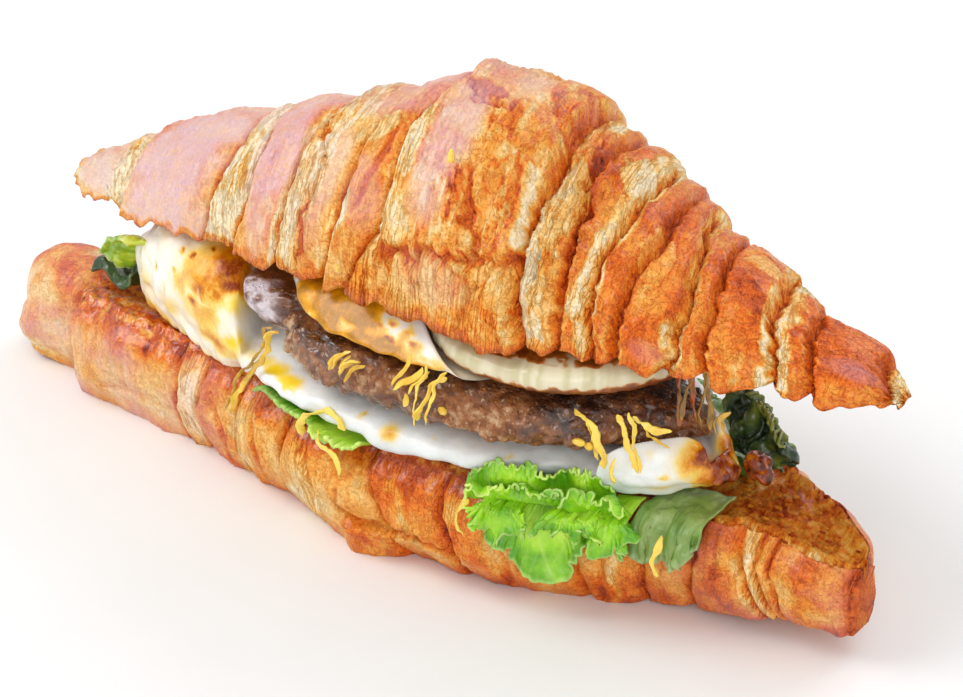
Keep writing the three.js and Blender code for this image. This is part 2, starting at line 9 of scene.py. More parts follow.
import bpy
import numpy as np
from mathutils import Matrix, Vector


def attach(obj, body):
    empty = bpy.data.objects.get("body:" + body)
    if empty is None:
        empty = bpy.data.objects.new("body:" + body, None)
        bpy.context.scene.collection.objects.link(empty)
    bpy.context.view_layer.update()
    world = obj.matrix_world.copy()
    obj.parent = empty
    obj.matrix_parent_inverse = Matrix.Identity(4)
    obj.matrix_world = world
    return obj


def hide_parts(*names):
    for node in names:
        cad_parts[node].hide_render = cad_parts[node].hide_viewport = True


bl_info = {
    "name": "Meat-filled croissant",
    "version": (1, 0, 0),
    "blender": (4, 5, 0),
    "location": "View3D > Sidebar > Croissant",
    "description": "Builds a filled croissant and its studio around the packed model",
    "category": "Object",
}

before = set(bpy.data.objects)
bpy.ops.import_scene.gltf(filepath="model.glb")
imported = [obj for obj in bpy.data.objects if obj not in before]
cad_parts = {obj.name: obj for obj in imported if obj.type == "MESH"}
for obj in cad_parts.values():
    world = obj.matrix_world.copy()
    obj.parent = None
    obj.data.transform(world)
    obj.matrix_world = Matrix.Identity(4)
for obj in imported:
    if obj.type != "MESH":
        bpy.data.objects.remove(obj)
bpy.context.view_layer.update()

MM = 0.001
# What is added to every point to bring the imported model's footprint to the middle
CENTRE = np.array([0.75, 2.46, 0.0])
# Heights: the rim of the lower half, then the undersides and tops of the fillings
RIM = 19.5
EGG_LOW = 21.8
EGG_TOP = 28.4
PATTY_LOW = 28.75
PATTY_TOP = 38.75
ONION_LOW = 39.1
LEAF_LEVEL = 20.5
# The middle of the onion slice
ONION_X = 33.0
ONION_Y = -4.0
# Where the two halves of the croissant begin and end
LID_SPAN = (-83, 90.5)
BASE_SPAN = (-94, 88.8)
# What the camera and the lamps look at, in metres
TARGET = Vector((0.00651, 0.00916, 0.023))


# Numbers and curves

def stack(*arrays):
    """Arrays side by side along a new last axis, such as x, y and z as points."""
    return np.stack(arrays, axis=-1)


def axes(grid):
    """The x, y and z of a grid of points."""
    return np.moveaxis(grid, -1, 0)


def smooth(a, b, x):
    """Rises smoothly from 0 at a to 1 at b."""
    t = np.clip((x - a) / (b - a), 0, 1)
    return t * t * (3 - 2 * t)


def bump(x, middle, half):
    """A bell, 1 at middle and 0.37 half away from it."""
    return np.exp(-(((x - middle) / half) ** 2))


def mix(a, b, t):
    """From a to b as t goes from 0 to 1."""
    return a + (b - a) * t


def profile(knots):
    """A cubic through (position, value) knots, its slopes the harmonic means, so it never overshoots."""
    x, y = np.array(knots, float).T
    slope = np.diff(y) / np.diff(x)
    tangent = np.empty_like(x)
    tangent[0], tangent[-1] = 0.7 * slope[0], 0.7 * slope[-1]
    a, b = slope[:-1], slope[1:]
    total = np.where(a + b == 0, 1, a + b)
    tangent[1:-1] = np.where(a * b <= 0, 0, 2 * a * b / total)

    def value(at):
        at = np.clip(at, x[0], x[-1])
        i = np.clip(np.searchsorted(x, at) - 1, 0, len(x) - 2)
        w = x[i + 1] - x[i]
        t = (at - x[i]) / w
        rise = (1 + 2 * t) * (1 - t) ** 2 * y[i] + t * t * (3 - 2 * t) * y[i + 1]
        return rise + w * (t * (1 - t) ** 2 * tangent[i] + t * t * (t - 1) * tangent[i + 1])

    return value


def uneven(a, b, c=0.0):
    """Three sine waves that don't repeat together, between -1 and 1."""
    return (np.sin(1.7 * a + 0.6 * b + c) + np.sin(0.8 * a - 1.9 * b + 2.3 * c)
            + np.sin(2.9 * a + 2.3 * b - c)) / 3


# Large primes that scatter a seed, each coordinate and their mixture, and how many bits are kept
SEED_PRIME = 374761393
AXIS_PRIMES = (73856093, 19349663, 83492791)
MIX_PRIME = 1274126177
LONG_BITS, SHORT_BITS = 0xFFFFFFFF, 0xFFFF


def lattice(cell, seed):
    """A fixed number from 0 to 1 for each whole-numbered cell: its coordinates are multiplied and mixed."""
    h = np.full(cell.shape[:-1], seed * SEED_PRIME, np.int64)
    for axis, prime in enumerate(AXIS_PRIMES[:cell.shape[-1]]):
        h ^= cell[..., axis] * prime
    h &= LONG_BITS
    h = ((h ^ (h >> 13)) * MIX_PRIME) & LONG_BITS
    return ((h ^ (h >> 16)) & SHORT_BITS) / SHORT_BITS


def noise(points, size, seed, octaves, gain=0.5):
    """Smooth random waves between -1 and 1: cell values blended over each cell, at halving sizes."""
    total, weight, full = 0.0, 1.0, 0.0
    for octave in range(octaves):
        p = points / size * 2 ** octave + 17.3 * octave
        cell = np.floor(p).astype(np.int64)
        t = smooth(0, 1, p - cell)
        value = 0.0
        for corner in itertools.product((0, 1), repeat=points.shape[-1]):
            share = np.prod(np.where(np.array(corner) == 1, t, 1 - t), axis=-1)
            value = value + share * lattice(cell + np.array(corner), seed + octave)
        total = total + weight * (2 * value - 1)
        full += weight
        weight *= gain
    return np.clip(1.6 * total / full, -1, 1)


def lumps(points, size, seed):
    """Round lumps: 1 at one random point in each cell, falling to 0 at 0.65 of a cell from it."""
    p = points / size
    cell = np.floor(p).astype(np.int64)
    best = np.full(p.shape[:-1], 9.0)
    for offset in itertools.product((-1, 0, 1), repeat=points.shape[-1]):
        near = cell + np.array(offset)
        spot = stack(*(lattice(near, seed + 7 * i) for i in range(points.shape[-1])))
        best = np.minimum(best, ((p - near - spot) ** 2).sum(-1))
    reach = 0.42
    return np.clip(1 - best / reach, 0, 1)


def line_distance(a, b, line):
    """Distance from each (a, b) to the nearest stretch of a line through the given points."""
    best = np.full(np.broadcast(a, b).shape, 1e9)
    for (a0, b0), (a1, b1) in zip(line[:-1], line[1:]):
        da, db = a1 - a0, b1 - b0
        t = np.clip(((a - a0) * da + (b - b0) * db) / (da * da + db * db), 0, 1)
        best = np.minimum(best, np.hypot(a - a0 - t * da, b - b0 - t * db))
    return best


def spots(points, table, shift=0.0):
    """Soft-edged spots: the largest of height * exp(-distance²) over (middle, radii, height) rows."""
    points = points + np.asarray(shift)[..., None]
    return np.maximum.reduce([high * np.exp(-(((points - middle) / radii) ** 2).sum(-1))
                              for middle, radii, high in table])


# Meshes

def unit(vectors):
    """The same directions, each of length 1."""
    return vectors / np.maximum(np.linalg.norm(vectors, axis=-1, keepdims=True), 1e-9)


def pushed(points, ways, lift):
    """Every point moved by its lift in its own direction."""
    return points + ways * lift[..., None]


def normals(grid):
    """Directions square to a grid of points."""
    return unit(np.cross(np.gradient(grid, axis=0), np.gradient(grid, axis=1)))


def link(name, data):
    """A new object of the scene that shows the data."""
    made = bpy.data.objects.new(name, data)
    bpy.context.scene.collection.objects.link(made)
    return made


def fill_mesh(name, points, quads, triangles, values):
    """Puts the points and faces of a closed body into a new mesh, faces out."""
    a, b, c = points[np.concatenate([quads[:, [0, 1, 2]], quads[:, [0, 2, 3]], triangles]).T]
    if (a * np.cross(b, c)).sum() < 0:
        quads, triangles = quads[:, ::-1], triangles[:, ::-1]
    mesh = bpy.data.meshes.new(name)
    mesh.vertices.add(len(points))
    mesh.vertices.foreach_set("co", ((points + CENTRE) * MM).astype(np.float32).ravel())
    corners = np.concatenate([quads.ravel(), triangles.ravel()]).astype(np.int32)
    mesh.loops.add(len(corners))
    mesh.loops.foreach_set("vertex_index", corners)
    start = np.concatenate([4 * np.arange(len(quads)), quads.size + 3 * np.arange(len(triangles))])
    mesh.polygons.add(len(start))
    mesh.polygons.foreach_set("loop_start", start.astype(np.int32))
    mesh.polygons.foreach_set("use_smooth", np.ones(len(start), bool))
    mesh.update(calc_edges=True)
    mesh.validate()
    for key, value in values.items():
        kind, field = ("FLOAT_VECTOR", "vector") if value.ndim == 2 else ("FLOAT", "value")
        mesh.attributes.new(key, kind, "POINT").data.foreach_set(field, value.astype(np.float32).ravel())
    return mesh


def tube(grid, values):
    """A closed body from rings of points: quads between them, and a fan over each end to its middle."""
    rows, columns = grid.shape[:2]
    i, j = np.meshgrid(np.arange(rows - 1), np.arange(columns), indexing="ij")
    right = (j + 1) % columns
    ring, after = i * columns, (i + 1) * columns
    quads = stack(ring + j, ring + right, after + right, after + j).reshape(-1, 4)
    j, right = j[0], right[0]
    end = (rows - 1) * columns
    middle = np.full(columns, rows * columns)
    fans = np.concatenate([stack(right, j, middle), stack(end + j, end + right, middle + 1)])

    def flat(array):
        array = np.asarray(array, float)
        ends = np.stack([array[0].mean(0), array[-1].mean(0)])
        return np.concatenate([array.reshape((-1,) + array.shape[2:]), ends])

    return flat(grid), quads, fans, {key: flat(value) for key, value in values.items()}


def sheet(grid, thick, values):
    """A closed body from two copies of a grid, half the thickness to either side along its normals."""
    rows, columns = grid.shape[:2]
    i, j = np.meshgrid(np.arange(rows - 1), np.arange(columns - 1), indexing="ij")
    corner = i * columns + j
    top = stack(corner, corner + columns, corner + columns + 1, corner + 1).reshape(-1, 4)
    count = rows * columns
    ring = np.concatenate([np.arange(columns), np.arange(1, rows) * columns + columns - 1,
                           (rows - 1) * columns + np.arange(columns - 2, -1, -1),
                           np.arange(rows - 2, 0, -1) * columns])
    after = np.roll(ring, -1)
    quads = np.concatenate([top, top[:, ::-1] + count, stack(ring, after, after + count, ring + count)])
    half = thick * normals(grid) / 2
    points = np.concatenate([(grid + half).reshape(-1, 3), (grid - half).reshape(-1, 3)])
    twice = {key: np.tile(value.ravel(), 2) for key, value in values.items()}
    return points, quads, np.zeros((0, 3), int), twice


def joined(bodies):
    """Several (points, quads, triangles, values) bodies as one."""
    points, quads, triangles, values = zip(*bodies)
    first = np.cumsum([0] + [len(p) for p in points[:-1]])
    return (np.concatenate(points), np.concatenate([q + n for q, n in zip(quads, first)]),
            np.concatenate([t + n for t, n in zip(triangles, first)]),
            {key: np.concatenate([v[key] for v in values]) for key in values[0]})


def put(name, body, material, slot, *nodes):
    """Makes the piece and lets it ride on the one body and stand for its nodes, if it has any."""
    mesh = fill_mesh(name, *body)
    mesh.materials.append(look(material))
    piece = link(name, mesh)
    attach(piece, "root")
    if nodes:
        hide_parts(*nodes)


# Dough

# Angles round the crown, from its front edge over the top to its back edge
BAND_ANGLES = (0.0, 0.45, 0.95, 1.45, 2.2, math.pi)
# Each edge between two bands of the upper half: where it runs at those angles, and how deep its step is
LID_EDGES = (
    ((-83, -83, -83, -83, -83, -83), 0.8),
    ((-59, -55.8, -54.8, -54.5, -56, -58), 2.4),
    ((-34.5, -31, -29.5, -29, -30, -32), 1.8),
    ((-26, -22.3, -22.5, -24, -23, -22), 1.9),
    ((-14.6, -13.6, -12, -9, -11, -14), 2.0),
    ((-3, 0, 1, 4, 2, -1), 2.2),
    ((2.5, 10, 10.3, 14, 13, 10), 3.0),
    ((37.5, 36.4, 35.9, 35.8, 36.4, 37), 1.6),
    ((42.3, 42.4, 41.8, 40.3, 41, 42), 1.8),
    ((47, 47, 46.5, 48, 48.4, 48), 1.9),
    ((50.3, 51.2, 52, 53.3, 54, 53), 2.4),
    ((58, 59.5, 60, 59.4, 58.6, 59), 1.5),
    ((63.3, 63.4, 63.5, 63.7, 63.4, 63.5), 2.1),
    ((72.1, 72.3, 72.5, 72.8, 73.3, 73), 1.4),
    ((78, 78, 78, 78, 78, 78), 1.9),
    ((89, 88.6, 88.2, 87.6, 87, 87.6), 0.5),
    ((90.5, 90.5, 90.5, 90.5, 90.5, 90.5), 0.3),
)
# The band that lies over both its neighbours
LID_MIDDLE = 6
# For each band: how brown its glaze is, then the stretch of it (0 to 1) that stayed pale
LID_GLAZE = (
    (0.34, 0.74, 1.0), (0.44, 0.0, 0.0), (0.34, 0.1, 0.97), (0.46, 0.9, 1.0), (0.42, 0.08, 0.6),
    (0.52, 0.0, 0.16), (0.46, 0.0, 0.1), (0.52, 0.05, 0.62), (0.58, 0.6, 1.0), (0.6, 0.0, 0.28),
    (0.6, 0.88, 1.0), (0.58, 0.0, 0.24), (0.58, 0.86, 1.0), (0.58, 0.04, 0.5), (0.62, 0.0, 0.0),
    (0.5, 0.1, 0.9),
)
# Folds and cracks in the upper half: (station, angle) points, width, depth, how dark
LID_FOLDS = (
    (((33, 1.23), (34.6, 0.98), (35.7, 0.71)), 0.7, 0.5, -0.35),
    (((24.5, 0.88), (27, 0.62), (29.7, 0.54)), 0.8, 0.7, 0.25),
    (((9, 0.3), (17.3, 0.31), (25.6, 0.4), (34.2, 0.55), (36.1, 0.66)), 0.7, 1.1, 0.3),
    (((-10.8, 1.23), (-6.1, 0.8), (-7.2, 0.5), (-6.4, 0.15)), 0.6, 0.8, 0.28),
    (((39.2, 1.7), (41.5, 1.2), (41.9, 0.8), (42, 0.45)), 0.5, 0.7, 0.2),
    (((15, 1.5), (20, 1.32), (26, 1.4)), 0.6, 0.6, 0.4),
    (((27, 1.05), (31, 1.18), (35, 1.3)), 0.5, 0.3, -0.2),
    (((-20, 0.2), (-18.5, 0.6), (-17, 0.95)), 0.45, 0.3, 0.1),
    (((5, 0.55), (6.5, 0.8), (7, 1.05)), 0.7, 0.5, 0.2),
    (((12, 0.06), (13.5, 0.2), (11, 0.3)), 0.5, 0.7, 0.25),
    (((27.5, 0.05), (29, 0.22), (32.5, 0.42)), 0.5, 0.7, 0.25),
    (((67.5, 0.02), (68.2, 0.25), (68.6, 0.55)), 0.4, 0.4, -0.2),
)
# Patches of the upper half: station, angle, half length, half breadth in mm, tone it has, how much of it
LID_PATCHES = (
    (20.4, 1.45, 3.6, 1.6, 0.86, 0.9), (5, 1.35, 5, 3.5, 0.5, 0.7), (3.5, 1.05, 4.5, 2.6, 0.2, 0.75),
    (-8, 1.35, 3.5, 4, 0.2, 0.6), (-8, 0.7, 3, 5, 0.26, 0.6), (18, 0.62, 5.5, 6.5, 0.42, 0.6),
    (30, 0.8, 3.4, 7, 0.6, 0.85), (20, 1.15, 5, 3, 0.4, 0.7), (34.5, 1.7, 4, 7, 0.72, 0.7),
    (12.5, 0.95, 2.2, 7, 0.14, 0.8), (13, 0.42, 3.5, 2.6, 0.2, 0.7), (46, 1.75, 3, 6, 0.2, 0.85),
    (69, 1.95, 3.6, 4, 0.3, 0.6), (68.5, 1.45, 2, 2.4, 0.8, 0.35), (83, 1.9, 5, 4, 0.7, 0.5),
    (16.5, 0.14, 3, 2.8, 0.24, 0.6), (-2, 0.12, 4, 3, 0.34, 0.5), (26, 0.2, 4, 3, 0.42, 0.5),
    (31, 1.35, 5, 4, 0.58, 0.7), (44.5, 0.5, 1.6, 5, 0.14, 0.7), (39, 1.1, 2.2, 9, 0.16, 0.6),
    (54, 1.2, 2.5, 6, 0.4, 0.6),
)
# Painted sheen on the upper half, a pale pinkish painted reflection on the glaze: station, angle, half
# length, half breadth in mm, how much
LID_PAINTED_SHEEN = (
    (-44, 0.9, 13, 26, 1.0), (-70, 1, 9, 20, 0.8), (-18, 0.8, 5.5, 18, 0.9), (-7, 0.6, 5, 12, 0.5),
    (18.5, 0.95, 4.8, 10, 0.75), (4, 0.55, 4, 5, 0.35), (10, 1.3, 9, 4, 0.5), (-30, 1.7, 60, 9, 0.7),
    (22, 0.25, 7, 3, 0.25), (56, 0.25, 3, 3, 0.2), (84, 0.9, 5, 5, 0.3),
)
# Turns an angle round the crown into a distance over the crust
FOLD_RADIUS = 22.0

# Half its breadth, the height of its underside and the rise of its crown, at each station
lid_half = profile([
    (-83, 1.5), (-76, 6.2), (-70, 9), (-57, 14.4), (-41, 17.3), (-18, 22.3), (-2, 24.4), (13, 25.4),
    (32, 26.4), (41, 23.6), (50, 19.8), (63, 15), (71.5, 10.2), (84, 5.4), (90.5, 1.6)])
lid_base = profile([
    (-83, 35.6), (-57, 40), (-40, 42.3), (-15, 45), (10, 46.8), (40, 46.8), (60, 45.4), (75, 44),
    (92, 43.2)])
lid_crown = profile([
    (-83, 1.6), (-76, 4.6), (-66, 7.4), (-50, 11.2), (-35, 15.6), (-18, 20), (-5, 23), (8, 28), (20, 27),
    (32, 21.4), (45, 13.8), (58, 9.2), (70, 6.8), (82, 4.8), (90.5, 1.4)])


def lid_lean(station):
    """How far the crown leans back over its front edge."""
    return 6.3 * (1 - (np.abs(station) / 93) ** 8) * np.clip(lid_half(station) / 10, 0, 1)


def bands(at, edges, middle):
    """For each place: its band, how far across it (0 to 1), both distances to its edges, and its swelling.

    A band comes out from under its neighbour as 1 - exp(-distance / 2.2 mm), and ends in a step 1.5 mm wide
    on the side away from the middle band, which ends in such a step on both sides."""
    lines, depths = edges
    band = np.clip((at[None] >= lines).sum(0) - 1, 0, len(lines) - 2)
    start, end = (np.take_along_axis(lines, band[None] + side, 0)[0] for side in (0, 1))
    inner, outer = at - start, end - at
    t = np.clip(inner / (end - start), 0, 1)
    near = np.where(band < middle, outer, inner)
    far = np.where(band < middle, inner, outer)
    step = 1.5
    rise = np.where(band == middle, smooth(0, step, near) ** 0.8, 1 - np.exp(-near / 2.2))
    swell = depths[band] * rise * smooth(-0.1, step, far) ** 0.8 * (0.85 + 0.15 * np.sin(np.pi * t))
    return band, t, inner, outer, swell


def edge_lines(table, across, knots):
    """The edges' places at every point, from their places at the knots."""
    lines = np.stack([np.interp(across, knots, row) for row, _ in table])
    return lines, np.array([depth for _, depth in table])


def glaze_of(table, band, t, ragged):
    """Tone of the glaze and share of pale dough, from each band's row in the table."""
    tone, low, high = (np.array(column)[band] for column in zip(*table))
    soft = 0.07
    at = t + ragged
    pale = smooth(low - soft, low + soft, at) * (1 - smooth(high - soft, high + soft, at))
    return tone, np.where(high > low, pale, 0)


def flakes(places, size, seed):
    """Plates of crust with torn edges: which side of an edge a place is on, and how near the edge it is."""
    wave = noise(places, size, seed, 4, 0.6)
    return smooth(-0.03, 0.03, wave), bump(wave, 0, 0.06)


def fold_marks(table, along, across, height, swell, beside):
    """How far the table's folds press in and how much they darken; each fold swells to its sides.

    A fold of a given width lowers the crust by deep * exp(-(d/width)^2) and raises it by swell * deep round
    the distance beside * width."""
    depth, shade = 0.0, 0.0
    for route, width, deep, dark in table:
        d = line_distance(along, across, [(p, height * q) for p, q in route])
        mark = bump(d, 0, width)
        depth = depth - deep * mark + swell * deep * bump(d, beside * width, width)
        shade = shade + dark * mark
    return depth, shade


def patches(table, s, reach, ragged, hem):
    """For each row of (station, angle, half length, half breadth, ..., much): the rest of the row, how much
    of the patch is at each place, and how near its edge that place is. Hem is how softly the edge fades."""
    for x, y, long, broad, *rest in table:
        d = ((s - x) / long) ** 2 + ((reach - FOLD_RADIUS * y) / broad) ** 2
        share = smooth(1 + hem, 1 - hem, d + 0.55 * ragged)
        yield rest, share * rest[-1], 4 * share * (1 - share)


def top_bun_body():
    """The upper half: a ring at each station, over its crown from front to back, then along its underside.

    Round the crown y = -(half + out) cos(angle) and z = base + (crown + out) sin(angle)^0.88, and x leans
    back by lean * (1 - cos(angle)). Out is the bands' swelling, folds, flakes and blisters."""
    rows, arc, face = 548, 154, 26
    s, a = np.broadcast_arrays(np.linspace(*LID_SPAN, rows)[:, None], np.linspace(0, np.pi, arc)[None])
    reach = FOLD_RADIUS * a
    flat = stack(s, reach)
    along = flat * (1, 0.35)
    wander = 0.6 * noise(flat, 7, 3, 2) + 0.3 * noise(flat, 2.2, 5, 2)
    band, t, inner, outer, swell = bands(s + wander, edge_lines(LID_EDGES, a, BAND_ANGLES), LID_MIDDLE)
    coarse, fine = noise(flat, 9, 31, 3), noise(flat, 1.5, 41, 3)
    tone, pale = glaze_of(LID_GLAZE, band, t, 0.1 * noise(along, 2.0, 8, 3))
    crown = np.sin(a)
    pale = pale * (1 - 0.5 * crown ** 4)
    near_edge = np.minimum(inner, outer)
    crease, lip = bump(near_edge, 0, 0.4), bump(near_edge, 1.0, 0.7)

    layers = noise(stack(s + 1.5 * wander, reach * 0.1), 0.8, 21, 2)
    crumple = noise(flat * (1, 0.45), 3.0, 47, 3)
    blisters = lumps(flat, 5.5, 51) ** 1.5 * smooth(0.1, 0.5, noise(flat, 14, 52, 1))
    middle = bump(s, 23, 13) * smooth(0.25, 0.4, a) * (1 - smooth(1.9, 2.5, a))
    plate, torn = flakes(along, 5.5, 61)
    chip, chipped = flakes(along, 2.2, 65)
    scratch, scratched = flakes(flat * (1, 0.7) + 0.8 * wander[..., None], 3.4, 91)
    flaky = np.clip(0.35 + 0.65 * np.maximum(pale, middle) + 0.4 * coarse, 0.1, 1)
    line = FOLD_RADIUS * np.interp(s, (3, 9, 17, 26, 34, 37), (0.14, 0.3, 0.31, 0.4, 0.55, 0.66))
    ruffle = smooth(0.6, -1.2, reach - line + 0.8 * fine) * smooth(0, 5, s) * smooth(38, 35, s)
    pleats = noise(stack(s + 0.2 * reach, reach * 0.25), 6.5, 69, 3)

    tone = tone + 0.1 * coarse + 0.1 * (crown ** 3 - 0.4) + 0.07 * crumple
    tone = mix(tone, 0.14 + 0.05 * smooth(5, 40, s) + 0.2 * layers + 0.1 * coarse, pale)
    tone = tone + 0.08 * lip * (1 - pale)
    depth, shade = fold_marks(
        LID_FOLDS, s + 0.9 * wander + 0.4 * fine, reach + 1.2 * fine, FOLD_RADIUS, 0.35, 1.8)
    even = 0.42
    tone = even + 1.25 * (tone + shade - even)
    for (colour, _), weight, torn_edge in patches(LID_PATCHES, s, reach, 0.6 * fine + 0.8 * coarse, 0.22):
        tone = mix(tone, colour + 0.1 * fine, weight) + 0.14 * torn_edge
        depth = depth - 0.22 * torn_edge + (0.16 if colour < 0.3 else 0.0) * weight
        pale = mix(pale, float(colour < 0.3), weight)
    tone = mix(tone, 0.38 + 0.26 * pleats + 0.12 * fine, 0.7 * ruffle)
    tone = tone - 0.26 * torn * flaky + 0.1 * (plate - 0.5) * flaky - 0.14 * chipped * flaky
    tone = tone + 0.24 * np.maximum(middle, ruffle) * scratched * (0.6 + coarse)
    # Painted shade: the creases between the bands are darkened
    tone = mix(tone, 0.84 + 0.14 * fine, crease * 0.75 * (1 - 0.4 * crown ** 6))
    # Painted highlight: a thin lighter line on the crisp edge just beside each crease
    tone = tone - 0.2 * bump(near_edge, 1.1, 0.35) * (0.5 + coarse)
    edge = smooth(1.8, 0.3, reach + 0.9 * fine)
    tone = mix(tone, 0.72 + 0.16 * fine, 0.75 * edge)
    # Painted sheen: where the glaze gets a pale pinkish painted reflection, kept off the pale dough and the
    # hem strip
    blush = np.maximum.reduce([weight for _, weight, _ in patches(LID_PAINTED_SHEEN, s, reach, coarse, 0.6)])
    hem = smooth(1.5, 0.2, reach)

    out = swell - 1.0 * crease + 0.25 * lip * (1 - 0.5 * pale) + 0.2 * coarse + 0.16 * crumple
    out = out + pale * (0.26 * layers + 0.12 * fine) + 0.07 * fine + 0.35 * blisters * (1 - pale)
    frayed = bump(s - 0.1 * reach, 36.5, 7) * smooth(0.1, 0.5, a) * smooth(2.3, 1.7, a)
    out = out + flaky * (0.32 * (plate - 0.5) + 0.18 * (chip - 0.5)) + 0.2 * middle * crumple
    out = out + frayed * (0.55 * (plate - 0.5) + 0.5 * (chip - 0.5) + 0.5 * (scratch - 0.5))
    out = out + 0.22 * np.maximum(middle, ruffle) * (scratch - 0.5)
    out = out + depth + ruffle * (0.75 * pleats - 0.2) + 0.3 * hem * lumps(flat, 1.3, 71)
    out = out * smooth(0, 2.5, np.minimum(s + 83.2, 90.9 - s) + 0.6) + 0.5 * uneven(0.2 * s, 1.6 * a, 1)
    x = s - lid_lean(s) * (1 - np.cos(a))
    torn_hem = 0.25 + 0.75 * smooth(38, 60, s)
    ragged = torn_hem * (1.1 * noise(flat, 4.2, 77, 3) - 0.9 * bump(outer, 0, 0.7)) + 0.12 * fine
    notch = 1.1 * uneven(0.45 * s, 2, 4) * np.exp(-6 * crown) - ragged * np.exp(-8 * crown)
    crust = stack(x, -(lid_half(x) + out) * np.cos(a),
                  lid_base(x) + notch + (lid_crown(x) + out) * np.clip(crown, 0, 1) ** 0.88)
    t = np.linspace(0, 1, face + 2)[None, 1:-1, None]
    under = mix(crust[:, -1:], crust[:, :1], t)
    pores = noise(under[..., :2], 1.8, 81, 3)
    sunk = smooth(0, 0.12, t[..., 0]) * smooth(1, 0.88, t[..., 0])
    level = np.maximum(under[..., 2], mix(under[..., 2], lid_base(under[..., 0]) + 0.8, sunk))
    under[..., 2] = level + 0.3 * pores * sunk
    values = {
        "tone": (np.clip(tone, 0, 1), 0.5 + 0.2 * pores),
        "glaze": (np.clip(1 - pale - 0.6 * crease - 0.5 * ruffle, 0, 1), 0.1 + 0 * pores),
        "blush": (blush * (1 - 0.6 * pale) * (1 - edge), 0 * pores),
        "crumb": (0 * tone, np.broadcast_to(sunk, pores.shape)),
        "wet": (0.6 * hem, 0 * pores),
        "grain": (stack(s, reach, 0 * s), under * (1, 1, 0)),
    }
    return tube(np.concatenate([crust, under], axis=1),
                {key: np.concatenate(pair, axis=1) for key, pair in values.items()})


# Shares of the way down a wall of the lower half
WALL_KNOTS = (0.0, 0.3, 0.6, 1.0)
# Each edge between two bands of the lower half: where it runs at those shares, and how deep its step is
BASE_EDGES = (
    ((-94, -94, -94, -94), 0.8), ((-70.3, -71.5, -75, -76), 1.5), ((-41, -41, -41.2, -41.5), 1.6),
    ((-34.5, -34.5, -35.3, -36), 1.5), ((-23.5, -24.6, -24.5, -24.4), 1.7),
    ((-10.5, -11.4, -12.5, -13), 2.0), ((9, 11, 13.5, 15), 1.3), ((23, 24, 26, 27), 1.4),
    ((43.5, 44.2, 45, 45.3), 1.4), ((56, 55.5, 54.7, 54), 1.4), ((63.5, 63.2, 62.3, 61.5), 1.3),
    ((69.3, 70.6, 72.3, 74.5), 0.9), ((73, 73.2, 74.6, 76), 0.8), ((75.2, 75.7, 76.4, 77.4), 1.4),
    ((88, 88, 88, 88), 0.2), ((88.8, 88.8, 88.8, 88.8), 0.2),
)
BASE_MIDDLE = 6
# Glaze and pale stretch of its bands, as for the upper half
BASE_GLAZE = (
    (0.4, 0, 0), (0.46, 0, 0), (0.26, 0.1, 0.8), (0.5, 0.88, 1.0), (0.42, 0.0, 0.35), (0.42, 0.1, 0.4),
    (0.5, 0.3, 0.45), (0.52, 0.0, 0.1), (0.56, 0.5, 0.62), (0.56, 0.0, 0.08), (0.54, 0.9, 1.0),
    (0.3, 0.15, 0.9), (0.52, 0, 0), (0.56, 0, 0), (0.62, 0, 0),
)
# Folds in the front wall of the lower half: (x, share of the way down) points, width, depth, how dark
BASE_FOLDS = (
    (((3, 0.62), (6.2, 0.66), (12.4, 0.64), (20.5, 0.6), (27, 0.68)), 0.7, 1.1, 0.22),
    (((-62, 0.75), (-52, 0.62), (-44, 0.7)), 0.9, 0.4, 0.1),
    (((-31, 0.25), (-28, 0.6), (-29, 0.9)), 0.7, 0.5, 0.14),
    (((-19, 0.2), (-17.5, 0.5), (-18.5, 0.85)), 0.7, 0.6, 0.14),
    (((-5, 0.2), (-3, 0.45), (-4.5, 0.8)), 0.7, 0.6, 0.12),
    (((2, 0.15), (3.5, 0.35), (2.5, 0.6)), 0.6, 0.5, 0.1),
    (((17, 0.2), (18, 0.4), (17, 0.58)), 0.6, 0.4, 0.1),
    (((33, 0.3), (35, 0.6), (34, 0.9)), 0.7, 0.5, 0.14),
    (((49.5, 0.2), (49, 0.6), (48, 0.95)), 0.6, 0.5, 0.16),
    (((59, 0.15), (58.5, 0.5), (57.5, 0.95)), 0.4, 0.3, 0.12),
    (((66.5, 0.05), (66.8, 0.4), (67.6, 0.9)), 0.5, 0.3, 0.1),
)
# Half its breadth, the middle between its walls and the height of its rim
base_half = profile([
    (-94, 2.5), (-91, 6.5), (-86, 9.5), (-79, 9.6), (-74, 9.8), (-70, 15), (-63, 17.5), (-48, 19.5),
    (-36, 20), (-22, 23), (-6, 26.3), (10, 28.2), (25, 27.3), (35, 24.5), (47, 19.6), (60, 14.2),
    (68, 12.2), (76, 10.2), (85, 6.6), (88.8, 4.2)])
base_mid = profile([
    (-94, -4), (-78, -3), (-60, 0), (0, -0.4), (56, -0.5), (72, -1.6), (82, -3.6), (90, -6)])
base_rim = profile([
    (-94, 9), (-88, 12), (-76, 13), (-70, RIM - 0.7), (-40, RIM), (60, RIM), (80, 18.2), (90, 16.2)])


def base_lift(x):
    """How far the underside rises towards the ends."""
    return 5 * smooth(46, 92, x) + 2.5 * smooth(-78, -93, x)


def base_knob(x):
    """1 on the knob at the left end, 0 to the right of it."""
    return 1 - smooth(-76, -70.5, x)


def base_front(x):
    """Where the front edge of the cut face runs."""
    return base_mid(x) - base_half(x)


def base_back(x):
    """Where its back edge runs."""
    return base_mid(x) + base_half(x)


